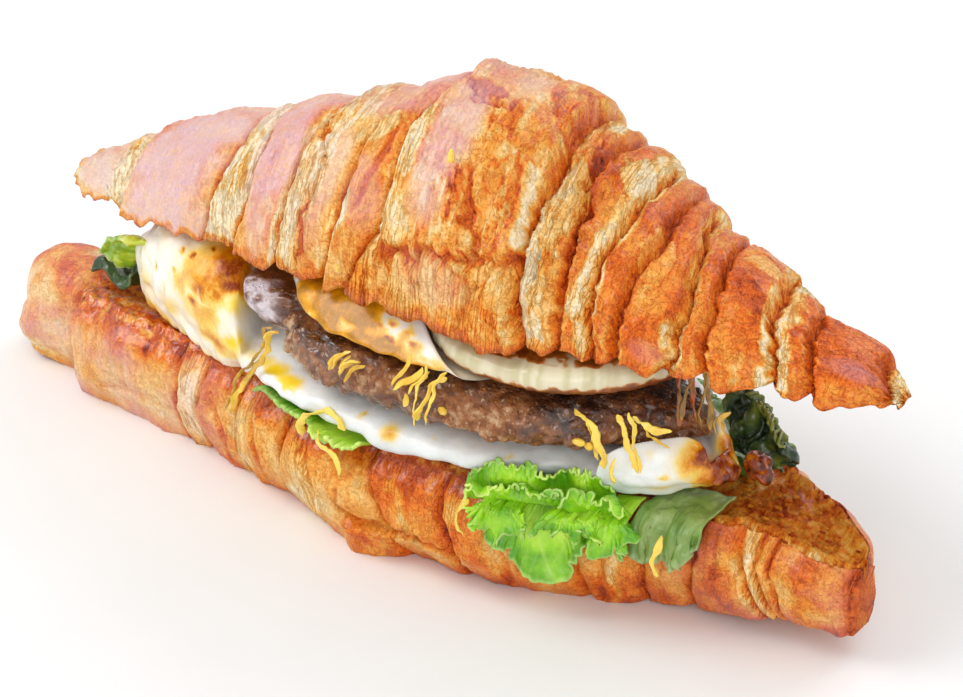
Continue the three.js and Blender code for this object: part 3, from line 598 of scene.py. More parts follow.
def base_wall(x, down, side):
    """A side wall of the lower half: its points, then tone, glaze, rim, grain and painted sheen at each of
    them.

    y = middle + side * (half * tuck + out), and z falls from the rim to the base."""
    front = float(side < 0)
    height = 18.0
    reach = height * down
    flat = stack(x + 40 * (1 - front), reach)
    wander = 0.5 * noise(flat, 6, 103, 2) + 0.2 * noise(flat, 2.0, 105, 2)
    band, t, inner, outer, swell = bands(x + wander, edge_lines(BASE_EDGES, down, WALL_KNOTS), BASE_MIDDLE)
    tone, pale = glaze_of(BASE_GLAZE, band, t, 0.12 * noise(flat, 3.0, 108, 3))
    crease = bump(np.minimum(inner, outer), 0, 0.5)
    coarse, fine = noise(flat, 8, 131, 3), noise(flat, 1.5, 141, 3)
    folds = noise(flat * (1, 0.3), 3.4, 147, 3)
    plate, torn = flakes(flat * (1, 0.5), 5, 161)
    tone = tone + 0.1 * coarse + 0.12 * folds - 0.14 * torn * np.clip(0.5 + coarse, 0.1, 1)
    tone = mix(tone, 0.2 + 0.1 * folds, pale * 0.85)
    rim = smooth(0.24, 0.02, down + 0.08 * fine + 0.05 * coarse) * smooth(80, 50, x) * (1 - base_knob(x))
    tone = mix(tone, 0.68 + 0.24 * fine, 0.8 * rim)
    tone = tone + 0.16 * smooth(0.75, 1.0, down)
    # Painted shade: the creases between the bands are darkened
    tone = mix(tone, 0.82 + 0.1 * fine, 0.65 * crease)
    tone = tone + 0.05 * bump(x, 15, 45) - 0.08 * smooth(-34, -50, x)
    tone = tone + 0.14 * noise(flat, 4.5, 167, 3) + 0.1 * smooth(0.5, 0.1, down)
    tone = mix(tone, 1.0, front * bump(x, -49.2, 1.1) * bump(down, 0.13, 0.07) * 0.95)
    shadow = bump(x, 64, 5) * smooth(0.35, 0.0, down) * front
    tone = mix(tone, 0.84, 0.5 * shadow)
    depth, shade = fold_marks(BASE_FOLDS, x + 0.6 * wander, reach + 0.8 * fine, height, 0.4, 1.9)
    folded = bump(x, 5, 9)
    tail = front * smooth(1, 6, x) * smooth(17, 12, x) * smooth(0.64, 0.74, down)
    tone = mix(tone + shade, 0.66 + 0.2 * fine, 0.8 * tail)
    share = 0.84 - 0.14 * smooth(60, 88, x) + front * (0.14 * folded + 0.09 * smooth(-14, -34, x))
    tuck = 0.985 + 0.07 * np.sin(np.pi * down) - (1 - share) * down ** 3
    out = swell * (0.55 + 0.45 * np.sin(np.pi * np.clip(down * 1.2, 0, 1)))
    out = out - 1.5 * front * folded * bump(down, 0.62, 0.12) + 0.5 * uneven(x * 0.16, down * 4, side)
    out = out - 1.0 * crease + 0.45 * coarse + 0.55 * folds + 0.1 * fine + depth + 1.5 * tail
    out = out + 0.6 * noise(flat, 13, 165, 1) * smooth(0.1, 0.4, down) + 0.16 * (plate - 0.5)
    corner = (1 - smooth(0, 0.2, down)) ** 1.5
    out = out + 0.4 * rim * lumps(flat, 1.7, 171) - 2.0 * corner * (1 - 0.7 * base_knob(x))
    grid = stack(x, base_mid(x) + side * (base_half(x) * tuck + out),
                 base_lift(x) + (base_rim(x) - base_lift(x)) * (1 - down))
    # Painted sheen: a pale pinkish painted reflection, strongest at the left end, kept off the rim and the
    # creases
    blush = 0.48 * smooth(-20, -50, x) + 0.24 * smooth(52, 66, x)
    blush = blush * (0.6 + 0.9 * coarse) * (1 - rim) * (1 - crease)
    return grid, tone, np.clip(1 - 0.7 * pale - 0.5 * crease, 0, 1), rim, stack(x, reach, 0 * x), blush


def bottom_bun_body():
    """The lower half: front wall, underside, back wall and the cut face, as one ring at each x."""
    rows = 438
    x = np.linspace(*BASE_SPAN, rows)[:, None]
    walls = []
    for side, count in ((-1, 66), (1, 50)):
        walls.append(base_wall(*np.broadcast_arrays(x, np.linspace(0, 1, count)[None]), side))
    front, back = walls
    t = np.linspace(0, 1, 16)[None, 1:-1, None]
    under = mix(front[0][:, -1:], back[0][:, -1:], t)
    t = np.linspace(0, 1, 78)[None, 1:-1, None]
    top = mix(back[0][:, :1], front[0][:, :1], t)
    across = 1 - 2 * t[..., 0]
    xx = top[..., 0]
    knob = base_knob(xx)
    flat = top[..., :2]
    inside = np.minimum((1 - np.abs(across)) * base_half(xx), 30)
    lip = bump(inside, 1.8, 1.5) * (1 - knob)
    pores, coarse = noise(flat, 1.1, 201, 3), noise(flat, 9, 207, 2)
    holes = lumps(flat, 1.3, 205) * smooth(-0.1, 0.4, noise(flat, 3, 206, 2))
    wet = bump(xx, 69, 5.5) * bump(flat[..., 1], 0.5, 4.5) * smooth(-0.6, 0.1, noise(flat, 4, 209, 2))
    rise = knob * 7.5 * np.sqrt(np.clip(1 - 0.95 * across ** 2, 0, 1))
    face = (1 - knob) * (0.25 * uneven(xx * 0.35, across * 3) - 0.5 * (1 - across ** 2))
    rough = (1 - knob) * smooth(0.2, 1.6, inside)
    broad = 4 + 5 * smooth(-36, -52, xx) * (across < 0)
    rim = smooth(broad, 0.55 * broad, inside + 1.2 * pores) * smooth(62, 46, xx) * (1 - knob)
    wrinkles = noise(flat, 5, 213, 3)
    top[..., 2] += rise + face + 0.9 * lip
    top[..., 2] += rough * (0.3 * pores - 0.55 * holes * (1 - rim) * (1 - 0.7 * wet))
    top[..., 2] -= (1 - knob) * 0.8 * (1 - smooth(0, 1.5, inside))
    top[..., 2] += 0.7 * rim * lumps(flat, 2.2, 211) + 0.5 * knob * wrinkles * smooth(0.1, 1.5, inside)
    # Painted shade: the sunken holes of the crumb are darkened
    tone = 0.5 + 0.34 * pores + 0.14 * coarse + 0.26 * holes
    tone = mix(tone, 0.66 + 0.26 * pores, rim)
    tone = mix(tone, 0.44 + 0.34 * wrinkles + 0.22 * smooth(-80, -72, xx), knob)
    crumb = (1 - rim) * (1 - knob) * smooth(0.3, 1.6, inside + 0.5 * pores)
    none, flatten = np.zeros(under.shape[:2]), (1, 1, 0)

    def ring(first, below, second, above):
        return np.concatenate([first, below, second[:, ::-1], above], axis=1)

    return tube(ring(front[0], under, back[0], top), {
        "tone": np.clip(ring(front[1], none + 0.62, back[1], tone), 0, 1),
        "glaze": ring(front[2], none + 0.3, back[2], mix(0.15, 1.0, np.maximum(rim, knob))),
        # Painted sheen on the walls, and a little of it on the knob
        "blush": ring(front[5], none, back[5], 0.2 * knob * (1 - crumb)),
        "crumb": ring(0 * front[1], none, 0 * back[1], crumb),
        "wet": ring(0.9 * front[3], none, 0.9 * back[3], np.maximum(rim, wet)),
        "grain": ring(front[4], under * flatten, back[4], top * flatten),
    })


# Fillings

def power(x, n):
    """A power that keeps the sign."""
    return np.sign(x) * np.abs(x) ** n


def filling(span, front, back, low, high, counts, square, rough, seed):
    """A layer with rounded sides, and the direction out of it at each point.

    Round each ring y goes between front and back by cos^(2/square) and z between low and high by
    sin^(2/square); both ends close as (1 - |s|^5)^0.4."""
    rows, columns = counts
    s = -np.cos(np.pi * (np.arange(rows) + 0.35) / (rows - 0.3))[:, None]
    x = (span[0] + span[1]) / 2 + s * (span[1] - span[0]) / 2
    closing = np.clip(1 - np.abs(s) ** 5, 0, 1) ** 0.4
    angle = (2 * np.pi * np.arange(columns) / columns)[None]
    across, up = power(np.cos(angle), 2 / square), power(np.sin(angle), 2 / square)
    wave = rough * (1 - np.abs(up)) * uneven(x * 0.4, angle * 2, seed)
    y = (front(x) + back(x)) / 2 + (across * (back(x) - front(x)) / 2 - wave) * (0.35 + 0.65 * closing)
    x, y = np.broadcast_arrays(x, y)
    z0, z1 = low(x), high(x, y)
    z = (z0 + z1) / 2 + up * closing * (z1 - z0) / 2
    out = unit(stack(*np.broadcast_arrays(0 * y, across, up)))
    out[..., 0] = power(s, 9)
    return stack(x, y, z), unit(out)


# Front and back edges of the egg and of the front patty
egg_front = profile([
    (-62, -10), (-57, -15.5), (-47, -19.8), (-33, -23.5), (-20, -25.4), (-8, -28.3), (5, -30), (20, -29.8),
    (33, -26.8), (43, -22.6), (50, -22.6), (56, -21.4), (61, -17.6), (65.5, -9)])
egg_back = profile([
    (-62, -3), (-50, 9), (-36, 15), (-12, 21), (15, 24.5), (35, 21), (50, 12), (59, 2), (65.5, -3)])
patty_front_edge = profile([
    (-15, -21.5), (-12, -25.5), (-5, -29.3), (6, -30.6), (20, -30.8), (33, -29.8), (43, -25.6), (50, -19.6),
    (57, -13.6), (61, -9)])
patty_back_edge = profile([(-15, -17), (0, -6), (20, 1), (40, 3), (55, -2), (61, -7)])
# How the patty behind is turned, and where its middle is
PATTY_TURN = math.radians(25)
PATTY_AT = (12.0, -2.5)


def turned(a, b, angle):
    """The point (a, b) turned round the origin."""
    return a * math.cos(angle) - b * math.sin(angle), a * math.sin(angle) + b * math.cos(angle)


def clear_of(*gaps):
    """1 where any of the distances beyond an edge is over 1.6 mm, 0 where none is over 0."""
    return smooth(0, 1.6, np.maximum.reduce(gaps))


def beside_patties(x, y):
    """1 where a point is clear of both patties seen from above, 0 where it is under one."""
    gap = 0.6
    first = clear_of(patty_front_edge(x) - gap - y, y - patty_back_edge(x) - gap, -15.5 - x, x - 61.8)
    u, v = turned(x - PATTY_AT[0], y - PATTY_AT[1], -PATTY_TURN)
    cut_end = (-39.475 - u) / 1.125
    return np.minimum(first, clear_of(cut_end, u - 36.5, -10 - v, v - 11.4))


# Spots on the egg and on its flap: middle, radii and how strong
EGG_GOLD = (
    ((-27, -19, 39), (8, 6, 5), 0.72), ((-32, -21, 38), (6, 5, 3.4), 0.64),
    ((-31, -22.5, 31), (5, 2.5, 2.2), 0.4), ((-43, -20, 27), (4, 3, 2.5), 0.28),
    ((-52, -16, 30), (4, 4, 4), 0.22), ((-38, -21, 34), (3, 3, 3), 0.24),
    ((-27, -23.3, 27), (5, 2, 2), 0.45), ((-40, -17, 22), (9, 4, 1.8), 0.4),
    ((-50, -14, 22.5), (7, 4, 1.8), 0.38), ((61.5, -14, 29.5), (2, 4, 3.6), 0.5),
    ((59.5, -17, 24.2), (3.2, 3, 1.2), 0.45), ((63, -12, 25.5), (2.4, 4, 3), 0.6),
    ((14, -28, 25.3), (1.5, 2, 0.9), 0.7), ((-13, -26, 28.2), (3, 2, 0.8), 0.35),
)
EGG_BROWN = (
    ((-30, -22.6, 35.3), (5.2, 2, 1.1), 0.85), ((-26.3, -21.5, 36.5), (3.2, 2.4, 1.3), 0.95),
    ((-34, -22.9, 32.6), (1.3, 1.5, 1), 0.8), ((-44.1, -19.7, 30.8), (1, 1, 0.8), 0.55),
    ((-46.9, -18.2, 33.8), (0.7, 1, 0.6), 0.7), ((-40.7, -20.2, 35.5), (0.8, 1, 0.6), 0.6),
    ((-37.5, -21.1, 36), (0.9, 1, 0.6), 0.5), ((-39.8, -18.8, 38.6), (0.9, 1, 0.6), 0.85),
    ((-36.3, -19.3, 39.1), (0.8, 1, 0.5), 0.85), ((-31.1, -18.6, 40), (1, 1, 0.5), 0.9),
    ((-28, -20.6, 38.6), (0.9, 1, 0.5), 0.9), ((-33.5, -18, 40.5), (0.9, 1, 0.5), 0.9),
    ((64, -6.5, 29), (2.6, 4, 2), 1.0), ((65, -8, 25), (2, 4, 2.6), 0.95),
    ((62.5, -12.5, 23), (2.8, 3, 1.2), 1.0), ((56.5, -20, 31.5), (0.9, 2, 0.8), 0.3),
    ((59, -18, 27.5), (0.7, 2, 0.6), 0.35), ((58.6, -12.8, 31.5), (1.2, 1.5, 0.8), 0.35),
    ((0, -27.9, 27.2), (0.6, 1, 0.4), 0.4), ((8, -28.5, 26.6), (0.5, 1, 0.4), 0.4),
    ((22, -28.6, 27), (0.5, 1, 0.4), 0.35), ((35, -25.6, 26.4), (0.6, 1, 0.4), 0.4),
)
EGG_YOLK = (
    ((-23.6, -24.6, 28.4), (3, 3, 1.4), 0.9), ((-20, -25.2, 27.9), (4, 3, 1.6), 1.0),
    ((-16.6, -25.6, 27.5), (3.6, 3, 1.5), 1.0), ((-13.4, -26.2, 26.9), (3.6, 3, 1.4), 1.0),
    ((-9.8, -27.6, 26.4), (4.2, 3, 1.3), 1.0), ((-24.7, -22.8, 34.4), (2.6, 2.4, 2.4), 0.7),
    ((-32, -23, 30), (4, 2, 1.4), 0.3), ((-25, -23.2, 25.6), (2.6, 2, 1.4), 0.4),
    ((-33, -21.5, 38.5), (3.4, 2.5, 2), 0.4),
)


def egg_body():
    """The egg as one filling: a tall lobe at the left, a band under the meat, a crisp lobe at the right."""
    def high(x, y):
        lobe = 14.5 * (1 - smooth(-31, -13, x)) * (0.6 + 0.4 * smooth(-61, -46, x))
        crisp = 7 * smooth(43.5, 50, x) * (1 - smooth(59, 66, x)) * smooth(5, -3, y)
        free = beside_patties(x, y)
        return EGG_TOP + (lobe + crisp) * free - 0.25 * (1 - free)

    grid, out = filling((-61.5, 65), egg_front, egg_back,
                        lambda x: EGG_LOW - 1.5 * (1 - smooth(-27, -19, x)) - 1.4 * bump(x, 14, 4),
                        high, (300, 160), 2.8, 0.7, 2)
    x, _, z = axes(grid)
    coarse, fine, blobs = noise(grid, 8, 301, 3), noise(grid, 1.7, 305, 3), lumps(grid, 3.2, 307)
    gold = spots(grid, EGG_GOLD)
    brown = spots(grid, EGG_BROWN, 0.5 * fine)
    yolk = spots(grid, EGG_YOLK, 0.4 * fine)
    crisp = smooth(61.2, 63.6, x + fine + 0.2 * (z - 27))
    hem = bump(z, EGG_TOP - 0.6, 0.9) * smooth(-20, -12, x) * smooth(56, 50, x)
    scallop = noise(grid * (1, 0.3, 0.3), 1.5, 311, 2)
    front = smooth(0, -0.5, out[..., 1])
    foot = front * smooth(-22, -30, x) * smooth(-60, -54, x) * smooth(26.5, 22, z)
    foot = foot * (1 + 0.5 * lumps(grid, 3.4, 313) + 0.3 * coarse)
    puff = front * smooth(46, 54, x) * lumps(grid, 7, 315)
    slope = front * smooth(-20, -10, x) * smooth(44, 30, x) * smooth(27, 22, z)
    lift = 0.3 * coarse + 0.1 * fine + 0.6 * crisp * blobs + 0.35 * hem * scallop + 0.25 * brown * blobs
    lift = lift + 0.8 * slope + 2.2 * foot + 0.7 * puff
    lift = lift + 0.35 * smooth(-14, -24, x) * noise(grid, 3.4, 317, 2)
    top_of_band = smooth(EGG_TOP - 1, EGG_TOP, z) * smooth(-14, -8, x)
    grid = pushed(grid, out, lift * (1 - 0.8 * top_of_band * (1 - crisp)))
    x, _, z = axes(grid)
    creamy = 0.035 * smooth(-18, -30, x) * (1 + 1.5 * coarse)
    fried = 0.9 * gold + creamy + 0.12 * coarse * (gold > 0.1) + 0.5 * crisp * smooth(-0.3, 0.5, coarse)
    fried = np.maximum(np.clip(fried, 0, 0.75), brown * smooth(-0.6, 0.2, fine + brown))
    return tube(grid, {
        "fried": fried * (1 - 0.9 * np.clip(yolk, 0, 1)),
        "yolk": smooth(0.25, 0.6, yolk + 0.15 * fine) * np.clip(yolk * 1.3, 0, 1),
        # Painted shade: from the band under the meat to the right, the white is greyed, less near its top
        "cool": smooth(-16, -4, x) * (1 - crisp) * (1 - 0.8 * smooth(EGG_TOP - 6, EGG_TOP - 1, z)),
        "wet": np.clip(0.3 + 0.6 * crisp + 0.3 * brown, 0, 1),
    })


FLAP_AMBER = (
    ((1.6, -26.4, 43), (5, 4, 1), 0.55), ((6.6, -25.8, 43.8), (5, 4, 1.4), 0.6),
    ((-1.3, -24.8, 44.3), (3, 4, 1.4), 0.6), ((5, -29, 40.4), (7, 2.5, 0.9), 0.65),
    ((15, -29, 40.6), (7, 2.5, 0.9), 0.6), ((-7, -25, 41), (3, 3, 1.4), 0.5),
)
FLAP_BROWN = (
    ((6, -27.7, 42.1), (1, 1, 0.5), 0.9), ((-0.3, -26.4, 42.9), (1, 1, 0.5), 0.9),
    ((9.6, -27.1, 42.7), (1, 1, 0.5), 0.9), ((12.3, -26.1, 43.5), (1, 1, 0.6), 0.8),
    ((13.1, -28.3, 41.6), (2.4, 1, 0.4), 0.9), ((17.9, -27.4, 42.2), (1.6, 1, 0.4), 0.7),
    ((9, -28.9, 40.6), (2.6, 1, 0.4), 0.85), ((3, -27.5, 41.3), (0.8, 1, 0.4), 0.8),
)


def flap_body():
    """A golden flap of egg on the meat: its front rises from a thin edge to the upper half's cut face."""
    front = profile([(-14, -22), (-5, -27.3), (8, -29.6), (24, -29.6), (34, -27)])
    back = profile([(-14, -12), (0, -2), (20, 6), (34, 4)])

    def high(x, y):
        rise = (lid_base(x) - 1.2 - ONION_LOW) * 0.86 * smooth(-32, -23, y)
        near = np.hypot((x - ONION_X) / 24.6, (y - ONION_Y) / 25.4)
        return ONION_LOW + 0.15 + (1.05 + rise) * smooth(0.96, 1.03, near)

    grid, out = filling((-14, 34), front, back, lambda x: ONION_LOW, high, (150, 130), 2.6, 0.5, 9)
    coarse, fine = noise(grid, 5, 321, 3), noise(grid, 1.5, 325, 3)
    grid = pushed(grid, out, 0.22 * coarse + 0.07 * fine)
    x, y, z = axes(grid)
    film = smooth(3.2, 1.2, np.hypot(x - ONION_X, y - ONION_Y) - 24.6)
    fried = 0.38 + 0.8 * coarse + 0.28 * fine + 0.16 * smooth(2, -12, x)
    fried = np.clip(fried + 0.4 * spots(grid, FLAP_AMBER, 0.5 * fine), 0.05, 0.68)
    fried = mix(fried, 0.05 + 0.1 * coarse, film)
    edge = smooth(41.2, 39.8, z) * 0.5 * (1 - 0.8 * film)
    return tube(grid, {
        "fried": np.maximum.reduce([fried, edge, spots(grid, FLAP_BROWN, 0.4 * fine)]),
        "yolk": 0.25 * smooth(0.25, 0.45, fried),
        "cool": 0.6 * smooth(0.3, 0.1, fried) * (1 - 0.7 * film),
        "wet": 0.35 + 0 * fried,
    })


def knobbly(grid, seed):
    """Minced meat: how far round lumps of three sizes push out, and the noises that its colour follows."""
    big, small, tiny = lumps(grid, 4.2, seed), lumps(grid, 2.0, seed + 3), noise(grid, 0.9, seed + 5, 2)
    coarse = noise(grid, 7, seed + 9, 2)
    return 1.1 * (big - 0.4) + 0.7 * (small - 0.4) + 0.2 * tiny + 0.4 * coarse, coarse, small, tiny


def patty_front_body():
    """The front patty: a filling between two curved edges, rough all round."""
    grid, out = filling((-15.5, 61.5), patty_front_edge, patty_back_edge, lambda x: PATTY_LOW,
                        lambda x, y: PATTY_TOP - 1.6 * smooth(46, 62, x), (260, 150), 2.9, 0.7, 3)
    lift, coarse, small, tiny = knobbly(grid, 401)
    grid = pushed(grid, out, lift * smooth(0.97, 0.6, np.abs(out[..., 2])) - 0.1)
    x, _, z = axes(grid)
    sear = 0.42 + 0.26 * coarse + 0.26 * (0.5 - small) + 0.16 * tiny + 0.3 * smooth(36, 38.5, z)
    sear = sear + 0.3 * smooth(28, 56, x) * smooth(31, 36, z) + 0.16 * smooth(31.5, 29, z)
    sear = sear - 0.26 * smooth(14, -6, x) * smooth(38, 35, z)
    return tube(grid, {"sear": np.clip(sear, 0, 1), "cut": 0 * sear, "wet": smooth(-0.5, 0.5, coarse)})


def patty_back_body():
    """The patty behind: the same filling turned 25 degrees, its cut end leaning out at the top."""
    grid, out = filling((-37, 36), lambda x: -9.5 + 2 * smooth(20, 36, x),
                        lambda x: 11 - 3 * smooth(15, 36, x),
                        lambda x: PATTY_LOW + 2.2 * (1 - smooth(-36, -20, x)),
                        lambda x, y: PATTY_TOP + 2.6 * (1 - smooth(-34, -8, x)), (170, 130), 3.4, 0.5, 7)
    cut = 7.5
    x, y, z = axes(grid)
    into = np.clip((x + 37) / cut, 0, 1)
    x = x + cut * (into ** 2.6 - into)
    x = x - (1 - smooth(-38, -24, x)) * 0.7 * (z - PATTY_LOW - 6)
    grid = stack(x, y, z)
    face = smooth(0.96, 0.8, into)
    up = np.abs(out[..., 2])
    lift, coarse, small, tiny = knobbly(grid, 431)
    x, y, z = axes(pushed(grid, out, lift * smooth(0.97, 0.6, up) * (1 - 0.3 * face)))
    x, y = turned(x, y, PATTY_TURN)
    sear = 0.54 + 0.2 * coarse + 0.2 * (0.5 - small)
    face = face * smooth(0.98, 0.78, up + 0.1 * tiny - 0.1 * coarse) * smooth(1.5, 0.8, coarse + small)
    grains = 0.22 + 0.4 * tiny + 0.5 * (small - 0.4) + 0.25 * coarse
    return tube(stack(x + PATTY_AT[0], y + PATTY_AT[1], z), {
        "sear": np.clip(mix(sear, grains, face), 0, 1), "cut": face,
        "wet": smooth(-0.2, 0.6, coarse) * (1 - 0.8 * face)})


def onion_body():
    """A thick slice of onion: a disc with fine lines round its cut side, browned along its rims."""
    def half(x):
        return 24.4 * np.sqrt(np.maximum(0.02, 1 - (np.abs(x - ONION_X) / 24.0) ** 2.2))

    grid, out = filling((9.4, 56.6), lambda x: ONION_Y - half(x), lambda x: ONION_Y + half(x),
                        lambda x: ONION_LOW, lambda x, y: ONION_LOW + 6.8 - 1.2 * smooth(46, 57, x),
                        (150, 130), 3.2, 0.25, 5)
    x, y, z = axes(grid)
    turn = 24 * np.arctan2(y - ONION_Y, x - ONION_X)
    lines, broad = noise(stack(turn, z * 0.05), 1.0, 501, 3), noise(stack(turn, z * 0.1), 5.0, 505, 2)
    level = np.clip((z - ONION_LOW) / 6.5, 0, 1)
    ragged = noise(grid, 1.3, 507, 2)
    high = 0.8 * smooth(0.86, 0.95, level + 0.06 * ragged)
    high = mix(high, 0.3 + 0.3 * ragged + 0.3 * broad, smooth(0.93, 1.0, level))
    low = 0.75 * smooth(0.46, 0.3, level + 0.1 * ragged) + 0.14 * smooth(0.8, 0.4, level + 0.1 * broad)
    char = np.maximum(high, low * (0.9 + 0.25 * broad))
    grid = pushed(grid, out, 0.1 * lines + 0.1 * broad + 0.12 * char * ragged)
    return tube(grid, {"char": np.clip(char, 0, 1), "line": lines * 0.5 + 0.5, "depth": level})


# Leaves

def serrated(u, count, seed):
    """A toothed edge: a leaning saw wave whose teeth vary in height."""
    tooth = (u * count + 0.3 * np.sin(9 * u + seed)) % 1
    return (1 - np.abs(tooth * 2 - 1) ** 1.4) * (0.55 + 0.45 * np.sin(count * 0.8 * u + seed))


def leaf(grid, thick, u, v, pale, seed, veins=1.0):
    """A sheet with how pale the leaf is and where its veins run: they fan out from the foot and fork."""
    ribs = np.abs(np.sin(np.pi * (u * 4.0 + 0.35 * v * np.sin(7 * u + seed))))
    fork = np.abs(np.sin(np.pi * (u * 11 + 1.5 * v * np.sin(12 * u + seed) + 0.5 * v)))
    vein = np.maximum(bump(ribs, 0, 0.1), 0.6 * bump(fork, 0, 0.16) * smooth(0.1, 0.5, v))
    return sheet(grid, thick, {
        "pale": np.clip(pale, 0, 1), "vein": veins * np.clip(vein, 0, 1), "rim": smooth(0.93, 1.0, v)})


def crinkle(grid, seed, height):
    """Blistered leaf: soft noise lifts it along its normals."""
    return pushed(grid, normals(grid), height * noise(grid, 2.2, seed, 2))


def ruffled(grid, u, v, length, deep, seed):
    """A frilled leaf: puckers that fan out from its foot and a finely curled hem, pushed along its normals.

    The push is deep * (v^0.7 * wide + 0.3 v^2 * narrow + 0.4 v^8 * hem), each a wave along the hem."""
    along = length * u
    wide = noise(stack(along, 5 * v), 2.9, seed, 1)
    narrow = noise(stack(along, 6 * v), 1.3, seed + 11, 2)
    hem = np.sin(3.4 * along + 2.5 * wide) + 0.5 * np.sin(7.3 * along)
    push = deep * (v ** 0.7 * wide + 0.3 * v ** 2 * narrow + 0.4 * v ** 8 * hem)
    return pushed(grid, normals(grid), push), wide


def uv_grid(rows, columns):
    """Two shares from 0 to 1, along and across a leaf."""
    return np.meshgrid(np.linspace(0, 1, rows), np.linspace(0, 1, columns), indexing="ij")


# Lobes of the front leaf: middle, stem, distance off the wall, depth and number of folds, seed, points
# along and across, and the outline's reach at each angle from straight down, in degrees
LOBES = (
    (41, 5, 4.4, 0.9, 9, 1, (200, 60), ((-86, 8), (-55, 9.2), (-42, 10), (-25, 10), (-14, 11.6), (-3, 12.4),
                                        (7, 14.6), (21, 15.6), (30, 12.4), (45, 10.1), (65, 9), (86, 8))),
    (52.5, 2, 6.0, 0.6, 6, 3, (120, 44), ((-86, 2.5), (-28, 4.6), (-16, 7.6), (5, 8.2), (14, 6.2),
                                          (40, 6.2), (86, 3.4))),
    (47.2, 3, 6.6, 0.7, 8, 5, (120, 38), ((-86, 5), (-50, 5.2), (-20, 4.6), (5, 3.6), (30, 5), (86, 4.5))),
    (36.5, 2.5, 6.2, 0.6, 7, 7, (120, 38), ((-86, 4), (-40, 5.5), (-5, 7.2), (20, 6.4), (50, 5.6),
                                            (86, 4.2))),
)
# Frills of the front leaf: where each begins and ends, distance off the wall, lean, height, seed, points
FRILLS = (
    ((29.8, 51.8), 1.8, 1.0, 5.6, 671, (240, 34)), ((31.4, 46), 3.6, 2.4, 3.2, 681, (170, 26)),
    ((46.5, 55), 3.8, 2.2, 3.0, 691, (110, 26)),
)


def lobe(middle, stem, off, fold, folds, seed, counts, outline):
    """A short stem passes under the egg; from it the lobe fans out and hangs in folds of depth
    fold * out^2 * (1 + sin(folds * angle)), its sides drooping, its hem frilled and toothed."""
    u, v = uv_grid(*counts)
    degrees = -86 + 172 * u
    angle = np.radians(degrees)
    out = np.clip((v - 0.12) / 0.88, 0, 1)
    length = profile(outline)(degrees)
    teeth = 1.1 * serrated(u, 22, seed) - 0.6 + 0.7 * noise(stack(u * 30, 0 * u), 1.6, 640 + seed, 2)
    r = out * (length + teeth * smooth(0.02, 0.1, u) * smooth(0.98, 0.9, u))
    x = middle + stem * (2 * u - 1) * (1 - out) + r * np.sin(angle)
    inside = 1.2
    away = (off + inside) * smooth(0, 0.45, v) - inside
    y = base_front(x) - away - fold * out ** 2 * (1 + np.sin(folds * angle + seed))
    droop = 2.6 * out * np.sin(angle) ** 4 + 0.5 * out * np.sin(folds * angle + seed + 1)
    z = LEAF_LEVEL + 0.7 - r * np.cos(angle) - droop
    grid, wide = ruffled(stack(x, y, z), u, out, 1.7 * float(length.mean()), 1.0, 650 + seed)
    grid = crinkle(grid, 655 + seed, 0.25 * smooth(0.1, 0.4, v))
    pale = 0.4 - 0.26 * out + 0.3 * wide * out + 0.25 * noise(grid, 4, 660 + seed, 2)
    return leaf(grid, 0.4, u, out, pale, seed)


def frill(span, off, lean, high, seed, counts):
    """An upright frill along the edge: y moves out by off + lean * v and z rises by high * v."""
    u, v = uv_grid(*counts)
    length = span[1] - span[0]
    x = span[0] + length * u
    row = stack(x, 0 * x)
    wave = noise(row, 4.5, seed, 2)
    y = base_front(x) - off - lean * v * (1 + 0.7 * wave) - 1.2 * smooth(0.3, 0, u)
    teeth = 1.3 * serrated(u, 1.1 * length, seed) + 1.0 * noise(row, 1.7, seed + 1, 2)
    tall = (high + 1.4 * wave + teeth) * (1 - 0.4 * smooth(0.75, 1, u)) * (0.5 + 0.5 * smooth(0, 0.1, u))
    grid, wide = ruffled(stack(x, y, LEAF_LEVEL + 0.05 + v * tall), u, v, 1.2 * length, 1.0, seed + 2)
    return leaf(grid, 0.4, u, v, 0.25 + 0.3 * wide * v, seed)


def front_leaf_body():
    """The bright frilly leaf at the front: upright frills, and lobes that hang before the lower half."""
    return joined([frill(*row) for row in FRILLS] + [lobe(*row) for row in LOBES])


def hanging_leaf(span, reach, edge, side, inside, stand, swing, waves, seed, pale, counts, fine):
    """A leaf lies on the cut face, goes over the edge and hangs: v runs from inside to its tip.

    Its hem swings out as swing * out^1.2 * (1.1 + waves along x), with finer waves the nearer its tip."""
    u, v = uv_grid(*counts)
    length = span[1] - span[0]
    x = span[0] + length * u
    hang = reach(u) + 0.9 * serrated(u, length * 0.9, seed)
    flat = inside / (inside + hang)
    out = np.clip((v - flat) / (1 - flat), 0, 1)
    path = np.where(v < flat, (v / flat - 1) * inside, 0)
    wave = np.sin(waves * x + seed) + 0.5 * np.sin(2.3 * waves * x + 2 * seed)
    crimp = fine * (np.sin(3.7 * x + 2.5 * np.sin(1.3 * x + seed)) + 0.6 * np.sin(7.9 * x + seed + 3 * out))
    puff = swing * (out ** 1.2 * (1.1 + wave) + 0.42 * out ** 2.5 * crimp)
    y = edge(x) + side * (path + stand * smooth(-0.1, 0.45, out) + puff)
    z = LEAF_LEVEL - hang * out ** 1.5 + 0.6 * swing * wave * out * (1 - out)
    z = z + 0.5 * swing * crimp * smooth(0.2, 1, v) + 0.25 * out ** 2 * crimp
    shift = 0.8 * swing * out * np.cos(waves * x + seed) + 0.35 * out ** 2 * np.cos(3.7 * x + seed)
    grid, wide = ruffled(stack(x + shift, y, z), u, v, 1.3 * length, 0.6, 620 + int(seed))
    grid = crinkle(grid, 625 + int(seed), 0.4)
    pale = pale - 0.2 * v + 0.3 * wide * v + 0.15 * noise(grid, 4, 9, 2)
    return leaf(grid, 0.45, u, v, pale, seed, 0.35 + 0.65 * fine)


